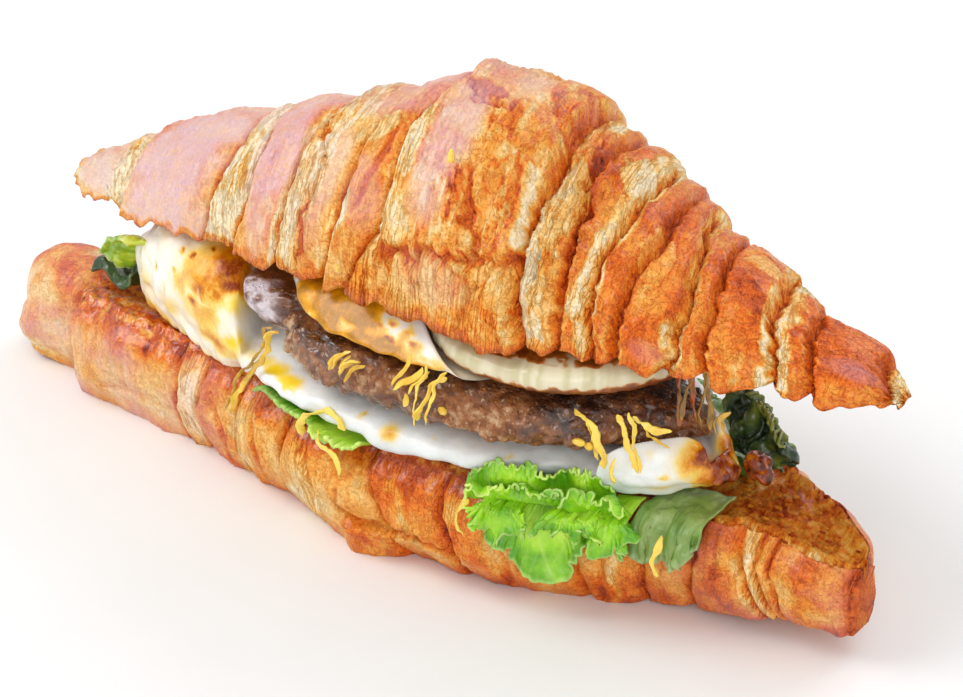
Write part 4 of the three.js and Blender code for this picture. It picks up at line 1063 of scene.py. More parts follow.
def right_leaf_body():
    """The duller leaf that hangs at the right of the front one."""
    reach = profile([(0, 6), (0.25, 8.2), (0.5, 7.9), (0.8, 6.6), (1, 3.4)])
    return hanging_leaf((55, 65.4), reach, base_front, -1, 8, 3.3, 0.75, 1.1, 2.5, 0.72, (130, 70), 0.3)


def back_leaf_body():
    """A leaf like it that hangs over the back edge."""
    return hanging_leaf((39, 64), lambda u: 8 + 3 * np.sin(5 * u), base_back, 1, 12, 2.2, 1.0, 1.0, 4, 0.3,
                        (150, 50), 1.0)


def middle_leaf_body():
    """A leaf across the cut face, its two hems frilled and showing under the egg at front and back."""
    u, v = uv_grid(170, 90)
    x = -18.5 + 27 * u
    side, off = np.sign(2 * v - 1), np.abs(2 * v - 1)
    broad = noise(stack(x, 2 * side), 3.2, 645, 2)
    hang = smooth(-5, 1, x) * smooth(8.6, 5, x)
    reach = base_half(x) + 1.2 + 1.5 * broad + 0.4 * serrated(u, 33, 3) + 1.1 * hang
    hem = smooth(0.86, 1, off)
    wave = np.sin(1.2 * x + 3 * side) + 0.5 * np.sin(2.5 * x)
    crimp = (0.5 + 0.8 * broad) * np.sin(2.9 * x + 2 * np.sin(1.2 * x)) + 0.4 * np.sin(8.7 * x)
    y = base_mid(x) + side * (reach * off ** 0.9 + hem * (0.8 + 0.4 * wave + 0.2 * crimp))
    rise = 1.1 + 0.5 * wave + 0.7 * broad + 0.4 * crimp - 0.8 * hang
    grid = crinkle(stack(x, y, LEAF_LEVEL + hem * rise), 647, 0.3 * hem)
    return leaf(grid, 0.55, u, off, 0.08 + 0.06 * wave + 0.25 * broad + 0.42 * smooth(-9, 1, x), 6)


def left_leaf_body():
    """The pale rib leaning out at the left."""
    u, v = uv_grid(110, 80)
    fan = u - 0.5
    fold = np.sin(7.5 * u + 2 * v)
    x = -50.5 - 12.5 * v + 11 * fan
    y = -14 + 7 * v + 8 * fan * (0.6 + 0.4 * v)
    z = 35 - 8.5 * v ** 1.6 + 1.6 * fan + 1.5 * fold * (0.4 + v) + 0.8 * serrated(u, 7, 5) * v
    grid = crinkle(stack(x, y, z), 631, 0.5)
    return leaf(grid, 0.9, u, v, 0.55 - 0.3 * v + 0.35 * noise(grid, 3, 633, 2), 7, 0.4)


def left_bits_body():
    """The dark torn leaf that lies on the cut face at the left."""
    u, v = uv_grid(80, 70)
    x = -70 + 8.4 * u + 0.5 * serrated(v, 9, 2) * (u - 0.5)
    z = LEAF_LEVEL + 2.3 + 1.5 * np.sin(6 * u + 3 * v) + 1.1 * np.sin(9 * v)
    return leaf(crinkle(stack(x, -11.5 + 11 * v, z), 635, 0.6), 0.6, u, v, 0.12 + 0.2 * u, 8)


def dark_curl_body():
    """The dark curled leaf that stands at the right, behind the egg."""
    u, v = uv_grid(160, 80)
    x = 56 + 13 * u + 1.2 * np.sin(9 * v + 4 * u)
    y = 3.4 + 5.4 * (1 - u) * v + 1.4 * np.sin(8 * u + 3 * v)
    z = LEAF_LEVEL + 0.9 + (12.4 - 6 * u + 1.4 * serrated(u, 15, 3)) * v + 0.9 * np.sin(11 * u) * v
    grid, wide = ruffled(stack(x, y, z), u, v, 30, 1.3, 641)
    grid = crinkle(grid, 639, 0.8)
    return leaf(grid, 0.5, u, v, 0.25 + 0.4 * wide + 0.3 * noise(grid, 2.5, 643, 2), 9)


# Cheese, the browned bit and crumbs

# Each shred: how toasted it is, then the points that it passes through
SHREDS = (
    (0.3, ((-9.5, -29.3, 36.9), (-12.3, -28.1, 34.8), (-13, -27.9, 31.8), (-16.2, -27.4, 27.2),
           (-19.6, -27.6, 22.4), (-22.4, -27.5, 16))),
    (0.05, ((-4.2, -30.2, 19), (-4.7, -30, 21.5), (-2.2, -30.1, 24.1), (1.2, -30.3, 25.9),
            (3.4, -30.7, 26.1), (6.5, -31.4, 24.6))),
    (0.0, ((0.4, -31.2, 22.4), (0.8, -31.9, 20.1), (4.8, -32.6, 19.4), (6.3, -32.8, 16.6))),
    (0.2, ((9.4, -31, 38), (7.9, -31.4, 37.4), (6.6, -32, 36.2), (5.9, -32.4, 35))),
    (0.2, ((6, -30.6, 38), (4.8, -31.5, 37), (3.8, -32.2, 35.2))),
    (0.08, ((22.4, -31.2, 41.2), (21.1, -31.5, 39), (18.6, -32, 37.6), (17.6, -32.6, 36.4))),
    (0.12, ((20.9, -33.1, 36.8), (21, -33.3, 35.6), (20.3, -33.2, 34.2))),
    (0.14, ((26.9, -31, 40.6), (24.3, -31.6, 38.4), (23.7, -32.4, 36.6), (22.6, -32.9, 34.5),
            (22, -32.9, 32.2))),
    (0.04, ((48, -23.6, 37.6), (49.6, -23.8, 36), (50.3, -23.2, 33.4), (50.8, -22.6, 30.6),
            (51, -22.5, 28.6))),
    (0.04, ((52.3, -21, 38.2), (53.9, -21, 35.6), (55.2, -21.6, 32.6), (56.8, -21.5, 29.4))),
    (0.0, ((53.3, -22.6, 31.4), (53, -23, 29), (53.2, -22.8, 26.8))),
    (0.05, ((55.4, -19.3, 36.8), (57.1, -18.2, 35.6), (59.4, -16.8, 35.2))),
    (0.78, ((58.4, -14.2, 46), (59, -14.2, 39.3), (59.9, -14.8, 35.8))),
    (0.82, ((60.1, -12.8, 46), (60.7, -12.7, 39), (61.8, -13.2, 36.4))),
    (0.6, ((61.2, -10.2, 45.6), (62.8, -11, 37.4), (63.4, -11.4, 34.6))),
    (0.45, ((66, -10.4, 38.4), (64.8, -11.4, 37.2), (65.6, -12, 35.6))),
    (0.0, ((32.4, -32.6, 21.2), (30.4, -32.2, 19.4), (29.6, -31.8, 15.6), (30.6, -31.6, 13.4))),
    (0.0, ((61.4, -21.4, 19.6), (61, -21.6, 17.4), (60.2, -21.8, 14.8), (60.9, -21.3, 11.8))),
)
# Thin melted strands: which shred they run beside, how far off in x and z, and how toasted they are
STRANDS = (
    (1, -0.9, 0.6, 0.5), (4, 1.4, -0.6, 0.3), (6, -1.2, 1.0, 0.2), (8, 1.4, 0.6, 0.1), (9, -1.3, 1.2, 0.2),
    (10, 1.2, 0.6, 0.1), (12, 0.6, -1.6, 0.3), (13, 1.4, 1.0, 0.6), (14, 1.6, -0.8, 0.65),
    (16, -1.0, -1.0, 0.5), (6, 2.2, 0.4, 0.05), (8, -1.6, -0.5, 0.0), (5, 1.9, 0.3, 0.05),
    (4, -1.4, 0.9, 0.2), (12, -1.4, 0.7, 0.0),
)


def shred_body(points, seed, toast, thick=1.3):
    """A shred: a flattened bar carried along a smooth curve through its points. It wavers, twists, thickens
    and thins on its way and tapers over its last millimetre."""
    knots = np.array(points, float)
    ends = np.concatenate([[2 * knots[0] - knots[1]], knots, [2 * knots[-1] - knots[-2]]])
    at = np.linspace(0, len(knots) - 1, 22 * (len(knots) - 1) + 1)
    i = np.minimum(at.astype(int), len(knots) - 2)
    t = (at - i)[:, None]
    a, b, c, d = (ends[i + k] for k in range(4))
    path = 2 * b + (c - a) * t + (2 * a - 5 * b + 4 * c - d) * t ** 2 + (3 * b - a - 3 * c + d) * t ** 3
    path = 0.5 * path
    length = np.concatenate([[0], np.cumsum(np.linalg.norm(np.diff(path, axis=0), axis=1))])
    ahead = unit(np.gradient(path, axis=0))
    side = unit(np.cross(ahead, (0.25, -1.0, 0.15)))
    over = np.cross(side, ahead)
    walk = stack(length, 0 * length)
    path = pushed(path, side, 0.3 * noise(walk, 2.6, 740 + seed, 2))
    twist = (0.9 * noise(walk, 4, 750 + seed, 1))[:, None]
    side, over = side * np.cos(twist) + over * np.sin(twist), over * np.cos(twist) - side * np.sin(twist)
    near = np.clip(np.minimum(length, length[-1] - length), 0.02, 1)
    size = (0.5 * thick * (0.82 + 0.3 * noise(walk, 2.2, 730 + seed, 2)) * np.sqrt(near))[:, None]
    angle = 2 * np.pi * np.arange(16) / 16
    wide, deep = np.cos(angle), np.sin(angle) * (0.52 + 0.14 * np.cos(2 * angle))
    grid = pushed(pushed(path[:, None], side[:, None], size * wide), over[:, None], size * deep)
    grid = grid + 0.12 * noise(grid, 0.9, 700 + seed, 2)[..., None]
    return tube(grid, {"toast": np.clip(toast + 0.14 * noise(grid, 2, 720 + seed, 2), 0, 1)})


def blob(centre, radii, seed, rough, counts):
    """A lump: a sphere stretched to its radii and made uneven by noise."""
    rows, columns = counts
    lat = np.linspace(0.04, np.pi - 0.04, rows)[:, None]
    lon = (2 * np.pi * np.arange(columns) / columns)[None]
    ball = stack(np.cos(lat) + 0 * lon, np.sin(lat) * np.cos(lon), np.sin(lat) * np.sin(lon))
    return pushed(np.array(centre), ball * radii, 1 + rough * noise(ball, 0.8, seed, 2))


def browned_body():
    """The dark caramelised bit beside the crisp lobe of egg."""
    grid = blob((68.2, -4.2, RIM + 6.6), (2.3, 2.1, 2.5), 12, 0.3, (60, 70))
    dark = 0.85 + 0.3 * noise(grid, 1.2, 341, 2)
    return tube(grid, {"fried": dark, "yolk": 0 * dark, "wet": 0.8 + 0 * dark})


def toast_crumbs_body():
    """Crumbs on the toasted cut face at the right."""
    random = np.random.default_rng(5)
    crumbs = []
    for _ in range(90):
        x = random.uniform(57, 86)
        y = base_mid(x) + random.uniform(-0.85, 0.85) * base_half(x)
        size = random.uniform(0.2, 0.5)
        radii = (size * 1.5, size, size * 0.8)
        grid = blob((x, y, base_rim(x) - 0.1), radii, random.integers(1000), 0.3, (6, 7))
        tone = np.full(grid.shape[:2], random.uniform(0.2, 0.8))
        crumbs.append(tube(grid, {"tone": tone, "crumb": 1 + 0 * tone}))
    return joined(crumbs)


def cheese_crumbs_body():
    """Yellow cheese crumbs stuck to the upper half and to the fillings."""
    rows = (((18.9, -19.0, 71.6), (0.6, 0.5, 1.5)), ((1.2, -25.9, 50.4), (0.45, 0.5, 1.4)),
            ((-0.6, -25.5, 51.8), (0.4, 0.4, 1.0)), ((26.2, -31.2, 34.6), (0.8, 0.6, 0.6)),
            ((47.6, -24.6, 33.2), (1.1, 0.6, 0.6)), ((49, -23.9, 32.6), (0.7, 0.5, 0.7)))
    counts = (16, 14)
    return joined([tube(blob(centre, radii, i, 0.2, counts), {"toast": np.full(counts, 0.05 * i)})
                   for i, (centre, radii) in enumerate(rows)])


def melted_body():
    """Thin strands of melted cheese beside the shreds: each runs like its shred, moved off and turned."""
    strands = []
    for i, (shred, right, up, toast) in enumerate(STRANDS):
        points = np.array(SHREDS[shred - 1][1], float) + (right, -0.15, up)
        middle = points.mean(0)
        x, y, z = (points - middle).T
        x, z = turned(x, z, 0.35 * math.sin(7.0 * i))
        strands.append(shred_body(middle + stack(x, y, z), 60 + i, toast, 0.8))
    return joined(strands)


# Materials

class Signal:
    """What comes out of a node. Sums, differences and products of signals and numbers are Math nodes."""

    def __init__(self, graph, socket):
        self.graph, self.socket = graph, socket

    def __add__(self, other):
        return self.graph.math("ADD", self, other)

    def __radd__(self, other):
        return self.graph.math("ADD", other, self)

    def __sub__(self, other):
        return self.graph.math("SUBTRACT", self, other)

    def __rsub__(self, other):
        return self.graph.math("SUBTRACT", other, self)

    def __mul__(self, other):
        return self.graph.math("MULTIPLY", self, other)


class Graph:
    """Adds nodes to one node tree and links them; a value is a signal, a number or a colour."""

    def __init__(self, tree):
        self.tree = tree

    def add(self, kind, values, **settings):
        """A new node, set as the settings say and with its inputs filled."""
        made = self.tree.nodes.new(kind)
        for key, value in settings.items():
            setattr(made, key, value)
        self.fill(made, values)
        return made

    def fill(self, node, values):
        """Links or sets the node's inputs."""
        for key, value in values.items():
            socket = node.inputs[key]
            if isinstance(value, Signal):
                self.tree.links.new(value.socket, socket)
            else:
                socket.default_value = (*value, 1) if socket.type == "RGBA" else value

    def signal(self, kind, values, output=0, **settings):
        """One output of such a node."""
        return Signal(self, self.add(kind, values, **settings).outputs[output])

    def math(self, operation, a, b=0.0):
        return self.signal("ShaderNodeMath", {0: a, 1: b}, operation=operation)

    def blend(self, factor, a, b, kind="MIX"):
        return self.signal("ShaderNodeMix", {0: factor, 6: a, 7: b}, 2, data_type="RGBA", blend_type=kind)

    def span(self, value, low, high, to_low=0.0, to_high=1.0):
        """The value, brought from between low and high to between to_low and to_high."""
        return self.signal("ShaderNodeMapRange", {0: value, 1: low, 2: high, 3: to_low, 4: to_high})

    def ramp(self, factor, stops):
        """Colours between the stops, a dictionary of places and colours."""
        made = self.add("ShaderNodeValToRGB", {0: factor})
        elements = made.color_ramp.elements
        while len(elements) < len(stops):
            elements.new(0.5)
        for element, (place, tint) in zip(elements, stops.items()):
            element.position = place
            element.color = (*tint, 1)
        return Signal(self, made.outputs[0])

    def noise(self, place, scale, detail, rough=0.55, distortion=0.0):
        return self.signal("ShaderNodeTexNoise", {"Vector": place, "Scale": scale, "Detail": detail,
                                                  "Roughness": rough, "Distortion": distortion}, "Fac")

    def shared(self, name, *values):
        """Places a shared node group, built the first time, with a value for each of its inputs."""
        inputs, outputs, make = GROUPS[name]
        tree = bpy.data.node_groups.get(name) or new_group(name, inputs, outputs, make)
        made = self.add("ShaderNodeGroup", dict(zip(inputs, values)), node_tree=tree)
        return [Signal(self, made.outputs[label]) for label in outputs]


def new_group(name, inputs, outputs, make):
    """A node group with named inputs, each with its default (None for a vector), and named outputs."""
    tree = bpy.data.node_groups.new(name, "ShaderNodeTree")
    for label, default in inputs.items():
        kind = "NodeSocketVector" if default is None else "NodeSocketFloat"
        socket = tree.interface.new_socket(name=label, in_out="INPUT", socket_type=kind)
        if default is not None:
            socket.default_value = default
    for label in outputs:
        tree.interface.new_socket(name=label, in_out="OUTPUT", socket_type="NodeSocketFloat")
    g = Graph(tree)
    given = g.add("NodeGroupInput", {})
    results = make(g, *(Signal(g, given.outputs[label]) for label in inputs))
    g.add("NodeGroupOutput", dict(zip(outputs, results)))
    return tree


def mottle(g, place, scale, specks):
    """Blotches of two sizes with a few sharp specks: used by dough, egg, meat, leaves and cheese."""
    blotch = g.noise(place, scale, 5.0, 0.6) * 0.65 + g.noise(place, scale * 4.3, 3.0, 0.6) * 0.35
    dots = g.noise(place, scale * 2.2, 1.0, 0.5)
    low = 0.78 - specks * 0.25
    return g.span(blotch, 0.3, 0.7, -1.0, 1.0), g.span(dots, low, low + 0.06)


def skin(g, place, scale, pores):
    """Fine relief: wrinkles with pores, as one height for a Bump node."""
    pore = g.signal("ShaderNodeTexVoronoi", {"Vector": place, "Scale": scale * 1.4}, "Distance")
    return (g.noise(place, scale, 5.0, 0.62, 0.6) + g.span(pore, 0.0, 0.35, -1.0, 0.0) * pores,)


def layers(g, grain, place):
    """Thin lines: the edges of dough layers along the grain, and finer cracks that run anywhere."""
    stretched = g.signal("ShaderNodeMapping", {"Vector": grain, "Scale": (1.0, 0.09, 1.0)})
    line = g.math("ABSOLUTE", g.noise(stretched, 0.9, 4.0, 0.65) - 0.5)
    crack = g.math("ABSOLUTE", g.noise(place, 620.0, 4.0, 0.65, 0.8) - 0.5)
    return g.span(line, 0.0, 0.035, 1.0, 0.0), g.span(crack, 0.0, 0.024, 1.0, 0.0)


# Shared node groups: inputs with their defaults, outputs, and what makes them
GROUPS = {
    "Mottle": ({"Place": None, "Scale": 300.0, "Specks": 0.2}, ("Blotch", "Speck"), mottle),
    "Skin": ({"Place": None, "Scale": 700.0, "Pores": 0.3}, ("Height",), skin),
    "Layers": ({"Grain": None, "Place": None}, ("Line", "Crack"), layers),
}


class Look(Graph):
    """The node tree of a new material: its shader, the place on the object and the colours to use."""

    def __init__(self, name):
        self.material = bpy.data.materials.new(name)
        self.material.use_nodes = True
        super().__init__(self.material.node_tree)
        self.tree.nodes.clear()
        self.shader = self.add("ShaderNodeBsdfPrincipled", {})
        self.add("ShaderNodeOutputMaterial", {0: Signal(self, self.shader.outputs[0])})
        self.place = self.signal("ShaderNodeTexCoord", {}, "Object")
        self.tints = bpy.context.scene.croissant_tints

    def attribute(self, name, output="Fac"):
        return self.signal("ShaderNodeAttribute", {}, output, attribute_name=name)

    def mottle(self, scale, specks):
        return self.shared("Mottle", self.place, scale, specks)

    def skin(self, scale, pores):
        return self.shared("Skin", self.place, scale, pores)[0]

    def finish(self, height, strength, depth, values):
        """Fills the shader's inputs and gives it the height as relief, its depth in metres."""
        normal = self.signal("ShaderNodeBump", {"Height": height, "Strength": strength, "Distance": depth})
        self.fill(self.shader, {"Normal": normal, **values})
        return self.material


def crust_look(name):
    """Baked dough: tone runs from pale flaky dough to dark glaze; crumb turns it into toasted cut bread."""
    g = Look(name)
    place, tints = g.place, g.tints
    tone, glaze, crumb, wet, blush = map(g.attribute, ("tone", "glaze", "crumb", "wet", "blush"))
    blotch, _ = g.mottle(260.0, 0.25)
    line, crack = g.shared("Layers", g.attribute("grain", "Vector"), place)
    fine = g.span(g.noise(place, 2400.0, 3.0, 0.65), 0.3, 0.7, -1.0, 1.0)
    line = line * (0.18 + (1.0 - glaze) * 0.82)
    crack = crack * (1.0 - blush * 0.7)
    tone = tone + blotch * 0.07 + line * 0.24 + crack * 0.13 + fine * 0.07 - 0.1
    crust = g.ramp(tone, {0.0: tints.dough, 0.2: tints.flake, 0.4: tints.gold, 0.6: tints.glaze,
                          0.8: tints.deep, 1.0: tints.burnt})
    pores = g.span(g.noise(place, 1500.0, 4.0, 0.7), 0.3, 0.7, -1.0, 1.0)
    # Painted sheen: a pale pinkish painted reflection mixed over the glaze; fewer cracks show under it
    sheen = blush * g.span(blotch + fine, -1.2, 0.8, 0.35, 0.9)
    grains = g.span(g.noise(place, 1900.0, 3.0, 0.7), 0.3, 0.7, 0.86, 1.08)
    crust = g.blend(sheen, crust, g.blend(1.0, tints.blush, grains, "MULTIPLY"))
    bread = g.ramp(tone + pores * 0.16, {
        0.0: tints.crumb, 0.4: tints.toast, 0.8: tints.glaze, 1.0: tints.deep})
    height = g.skin(900.0, 0.35) - line * 0.8 - crack * 0.3 + pores * crumb * 1.2
    return g.finish(height, 0.85, 0.0004, {
        "Base Color": g.blend(crumb, crust, bread),
        "Roughness": g.math("MAXIMUM", 0.72 - glaze * 0.3 + fine * 0.06 - wet * 0.26, 0.08),
        "Coat Weight": g.math("MAXIMUM", glaze * 0.3, wet), "Coat Roughness": 0.2,
        "Specular IOR Level": 0.12, "Subsurface Weight": 0.08, "Subsurface Radius": (0.004, 0.002, 0.001)})


def egg_look(name):
    """Fried egg: white turns golden, then brown, by its fried value; yolk shows as a warm yellow."""
    g = Look(name)
    tints = g.tints
    fried, yolk, wet, cool = map(g.attribute, ("fried", "yolk", "wet", "cool"))
    blotch, _ = g.mottle(420.0, 0.1)
    base = g.ramp(fried + blotch * fried * 0.35, {
        0.0: tints.white, 0.22: tints.cream, 0.45: tints.fried, 0.72: tints.brown, 1.0: tints.burnt})
    # Cloudy patches of the white, and the painted shade on the band under the meat, both mix in the shade
    # tint
    cloud_and_shade = g.span(blotch, -1.0, 1.0, 0.0, 0.25) + cool * 0.6
    base = g.blend(cloud_and_shade * g.span(fried, 0.0, 0.3, 1.0, 0.0), base, tints.shade)
    return g.finish(g.skin(600.0, 0.15), 0.35, 0.0003, {
        "Base Color": g.blend(yolk, base, tints.yolk), "Roughness": 0.42 - wet * 0.24,
        "Coat Weight": wet * 0.5, "Coat Roughness": 0.12, "Specular IOR Level": 0.35,
        "Subsurface Weight": 0.25, "Subsurface Radius": (0.004, 0.003, 0.002)})


def meat_look(name):
    """Seared mince: grey-brown where cut, darker and shiny where seared."""
    g = Look(name)
    tints = g.tints
    sear, cut, wet = map(g.attribute, ("sear", "cut", "wet"))
    blotch, speck = g.mottle(520.0, 0.5)
    tone = sear + blotch * 0.26
    brown = g.ramp(tone, {0.0: tints.fat, 0.3: tints.meat, 0.6: tints.sear, 0.95: tints.char})
    base = g.blend(cut, brown, g.ramp(tone, {0.1: tints.grey_light, 0.6: tints.grey}))
    return g.finish(g.skin(800.0, 0.6), 0.8, 0.0005, {
        "Base Color": g.blend(speck * 0.5, base, tints.fat), "Roughness": 0.48 - wet * 0.26,
        "Coat Weight": wet * 0.95, "Coat Roughness": 0.12})


def onion_look(name):
    """Onion flesh with fine lines, browned along its cut rims."""
    g = Look(name)
    tints = g.tints
    char, line, depth = map(g.attribute, ("char", "line", "depth"))
    flesh = g.ramp(line, {0.25: tints.flesh, 0.75: tints.flesh_dark})
    blotch, _ = g.mottle(380.0, 0.1)
    rim = char + blotch * char * 0.4
    base = g.blend(depth * 0.12, flesh, tints.flesh_green)
    browned = g.ramp(rim, {0.0: tints.flesh, 0.35: tints.caramel, 0.8: tints.scorch})
    return g.finish(g.skin(500.0, 0.1) * 0.5 + line, 0.3, 0.0003, {
        "Base Color": g.blend(g.span(rim, 0.05, 0.4), base, browned), "Roughness": 0.28, "Coat Weight": 0.3,
        "Coat Roughness": 0.12, "Subsurface Weight": 0.3, "Subsurface Radius": (0.005, 0.004, 0.002)})


def leaf_look(name):
    """A leaf: pale towards its foot and veins, brighter at its hem."""
    g = Look(name)
    gloss, *greens = LEAVES[name]
    greens = [srgb(*green) for green in greens]
    pale, vein, rim = map(g.attribute, ("pale", "vein", "rim"))
    blotch, _ = g.mottle(330.0, 0.1)
    base = g.ramp(pale + blotch * 0.16, dict(zip((0.0, 0.35, 0.7, 1.0), greens)))
    lines = g.math("MAXIMUM", vein * 0.22, rim * 0.45)
    return g.finish(g.skin(900.0, 0.1) * 0.8 + vein * -0.6, 0.5, 0.0003, {
        "Base Color": g.blend(lines, base, greens[-1]), "Roughness": 0.36, "Coat Weight": gloss,
        "Coat Roughness": 0.15, "Subsurface Weight": 0.35, "Subsurface Radius": (0.0015, 0.003, 0.0006)})


def cheese_look(name):
    """Cheese: yellow, orange-brown where it toasted."""
    g = Look(name)
    tints = g.tints
    blotch, _ = g.mottle(420.0, 0.1)
    base = g.ramp(g.attribute("toast") + blotch * 0.14, {
        0.0: tints.cheese, 0.3: tints.cheese_deep, 0.7: tints.cheese_brown, 1.0: tints.deep})
    return g.finish(g.skin(900.0, 0.1), 0.4, 0.0002, {
        "Base Color": base, "Roughness": 0.3, "Coat Weight": 0.4, "Coat Roughness": 0.15,
        "Subsurface Weight": 0.3, "Subsurface Radius": (0.003, 0.002, 0.001)})


# Each leaf material: how glossy it is, then its greens from the darkest to the palest, as screen values
LEAVES = {
    "Fresh leaf": (0.25, (88, 164, 6), (156, 216, 22), (202, 238, 76), (226, 244, 150)),
    "Warm leaf": (0.5, (66, 104, 30), (104, 142, 52), (142, 170, 84), (190, 206, 150)),
    "Leaf rib": (0.4, (116, 168, 20), (166, 200, 40), (206, 214, 70), (230, 236, 170)),
    "Wilted leaf": (0.4, (30, 54, 30), (56, 84, 40), (104, 120, 36), (160, 160, 70)),
}
# What makes each material
LOOKS = {
    "Baked crust": crust_look, "Fried egg": egg_look, "Seared meat": meat_look, "Grilled onion": onion_look,
    "Melted cheese": cheese_look, **dict.fromkeys(LEAVES, leaf_look),
}


def look(name):
    """The named material, made when it is first asked for."""
    return bpy.data.materials.get(name) or LOOKS[name](name)


# The add-on

def srgb(*levels):
    """Linear colour from 0 to 255 screen values."""
    return tuple(((c / 255 + 0.055) / 1.055) ** 2.4 if c > 10 else c / 255 / 12.92 for c in levels)


def colour(label, red, green, blue, about):
    """A colour that the user can change."""
    return bpy.props.FloatVectorProperty(name=label, description=about, default=srgb(red, green, blue),
                                         subtype="COLOR", size=3, min=0, max=1)


class CroissantTints(bpy.types.PropertyGroup):
    """Colours of the dough and everything in it."""

    dough: colour("Pale dough", 253, 233, 196, "Flaky dough that took no glaze")
    flake: colour("Flakes", 250, 205, 128, "Dough beside the glaze")
    gold: colour("Golden crust", 240, 162, 64, "Lightly baked crust")
    glaze: colour("Glazed crust", 226, 106, 20, "Brown glaze")
    deep: colour("Deep crust", 178, 62, 14, "Dark red-brown crust")
    # The colour of the painted sheen, a pinkish painted reflection on the glaze
    burnt: colour("Burnt crust", 70, 24, 12, "Burnt spots")
    blush: colour("Painted pinkish sheen", 226, 190, 204, "Pale pinkish painted reflection on the glaze")
    crumb: colour("Crumb", 255, 206, 104, "Cut bread")
    toast: colour("Toasted crumb", 255, 158, 44, "Toasted cut bread")
    white: colour("Egg white", 250, 250, 246, "Set egg white")
    shade: colour("Egg white shade", 200, 208, 208, "Cloudy parts of the white, and painted shade on the band under the meat")
    cream: colour("Cream egg", 246, 212, 104, "White that began to fry")
    fried: colour("Fried egg", 222, 138, 0, "Golden fried egg")
    brown: colour("Browned egg", 150, 60, 14, "Browned egg")
    yolk: colour("Yolk", 252, 212, 20, "Yolk")
    fat: colour("Fat", 202, 168, 130, "Fat in the meat")
    meat: colour("Meat", 150, 90, 42, "Cooked meat")
    sear: colour("Seared meat", 104, 56, 24, "Seared meat")
    char: colour("Charred meat", 44, 22, 12, "Darkest meat")
    grey: colour("Grey meat", 172, 158, 166, "Cut meat")
    grey_light: colour("Light grey meat", 226, 216, 224, "Pale grains in the cut meat")
    flesh: colour("Onion", 228, 220, 190, "Onion flesh")
    flesh_dark: colour("Onion lines", 208, 198, 158, "Lines in the onion")
    flesh_green: colour("Onion green", 214, 212, 160, "Greener onion")
    caramel: colour("Caramel", 186, 112, 34, "Browned onion rim")
    scorch: colour("Scorch", 122, 60, 18, "Darkest onion rim")
    cheese: colour("Cheese", 248, 218, 92, "Cheese")
    cheese_deep: colour("Deep cheese", 230, 184, 40, "Warmer cheese")
    cheese_brown: colour("Toasted cheese", 128, 92, 28, "Toasted cheese")


class CroissantStudio(bpy.types.PropertyGroup):
    """Camera and lights."""

    azimuth: bpy.props.FloatProperty(name="Azimuth", description="Camera angle round the croissant",
                                     subtype="ANGLE", default=math.radians(36.5))
    elevation: bpy.props.FloatProperty(name="Elevation", description="Camera angle above the table",
                                       subtype="ANGLE", default=math.radians(28))
    distance: bpy.props.FloatProperty(name="Distance", description="Camera distance", subtype="DISTANCE",
                                      unit="LENGTH", default=0.43)
    lens: bpy.props.FloatProperty(name="Lens", description="Focal length", unit="CAMERA", default=92.3)
    key: bpy.props.FloatProperty(name="Key light", description="Strength of the key light", unit="POWER",
                                 default=2.9)
    fill: bpy.props.FloatProperty(name="Fill light", description="Strength of the fill lights", unit="POWER",
                                  default=1.9)
    sky: bpy.props.FloatProperty(name="Surroundings", description="Brightness of the white room",
                                 default=0.66)


class CROISSANT_OT_top_bun(bpy.types.Operator):
    """Builds the upper half of the croissant"""

    bl_idname = "croissant.top_bun"
    bl_label = "Upper half"

    def execute(self, context):
        put("upper_half", top_bun_body(), "Baked crust", "crust_top", "top_bun")
        return {"FINISHED"}


class CROISSANT_OT_bottom_bun(bpy.types.Operator):
    """Builds the lower half of the croissant"""

    bl_idname = "croissant.bottom_bun"
    bl_label = "Lower half"

    def execute(self, context):
        put("lower_half", bottom_bun_body(), "Baked crust", "crust_bottom", "bottom_bun")
        return {"FINISHED"}


class CROISSANT_OT_egg(bpy.types.Operator):
    """Builds the fried egg, its golden flap and the browned bit beside it"""

    bl_idname = "croissant.egg"
    bl_label = "Egg"

    def execute(self, context):
        put("fried_egg", egg_body(), "Fried egg", "egg", "egg")
        put("egg_top", flap_body(), "Fried egg", "egg_golden", "egg_flap")
        put("browned_blob", browned_body(), "Fried egg", "browned", "browned_bit")
        return {"FINISHED"}


class CROISSANT_OT_meat(bpy.types.Operator):
    """Builds the two meat patties"""

    bl_idname = "croissant.meat"
    bl_label = "Meat"

    def execute(self, context):
        put("meat_front", patty_front_body(), "Seared meat", "patty", "patty_front")
        put("meat_back", patty_back_body(), "Seared meat", "patty", "patty_back")
        return {"FINISHED"}


class CROISSANT_OT_onion(bpy.types.Operator):
    """Builds the onion slice"""

    bl_idname = "croissant.onion"
    bl_label = "Onion"

    def execute(self, context):
        put("onion", onion_body(), "Grilled onion", "onion", "onion_slice")
        return {"FINISHED"}


class CROISSANT_OT_lettuce(bpy.types.Operator):
    """Builds every lettuce leaf"""

    bl_idname = "croissant.lettuce"
    bl_label = "Lettuce"

    def execute(self, context):
        put("leaf_front", front_leaf_body(), "Fresh leaf", "lettuce", "lettuce_front")
        put("leaf_middle", middle_leaf_body(), "Fresh leaf", "lettuce", "lettuce_middle")
        put("leaf_back", back_leaf_body(), "Warm leaf", "lettuce", "lettuce_back")
        put("leaf_right", right_leaf_body(), "Warm leaf", "lettuce", "lettuce_right")
        put("leaf_left", left_leaf_body(), "Leaf rib", "lettuce", "lettuce_left")
        put("leaf_bits", left_bits_body(), "Wilted leaf", "lettuce_dark", "lettuce_bits")
        put("leaf_curl", dark_curl_body(), "Wilted leaf", "lettuce_dark", "lettuce_curl")
        return {"FINISHED"}


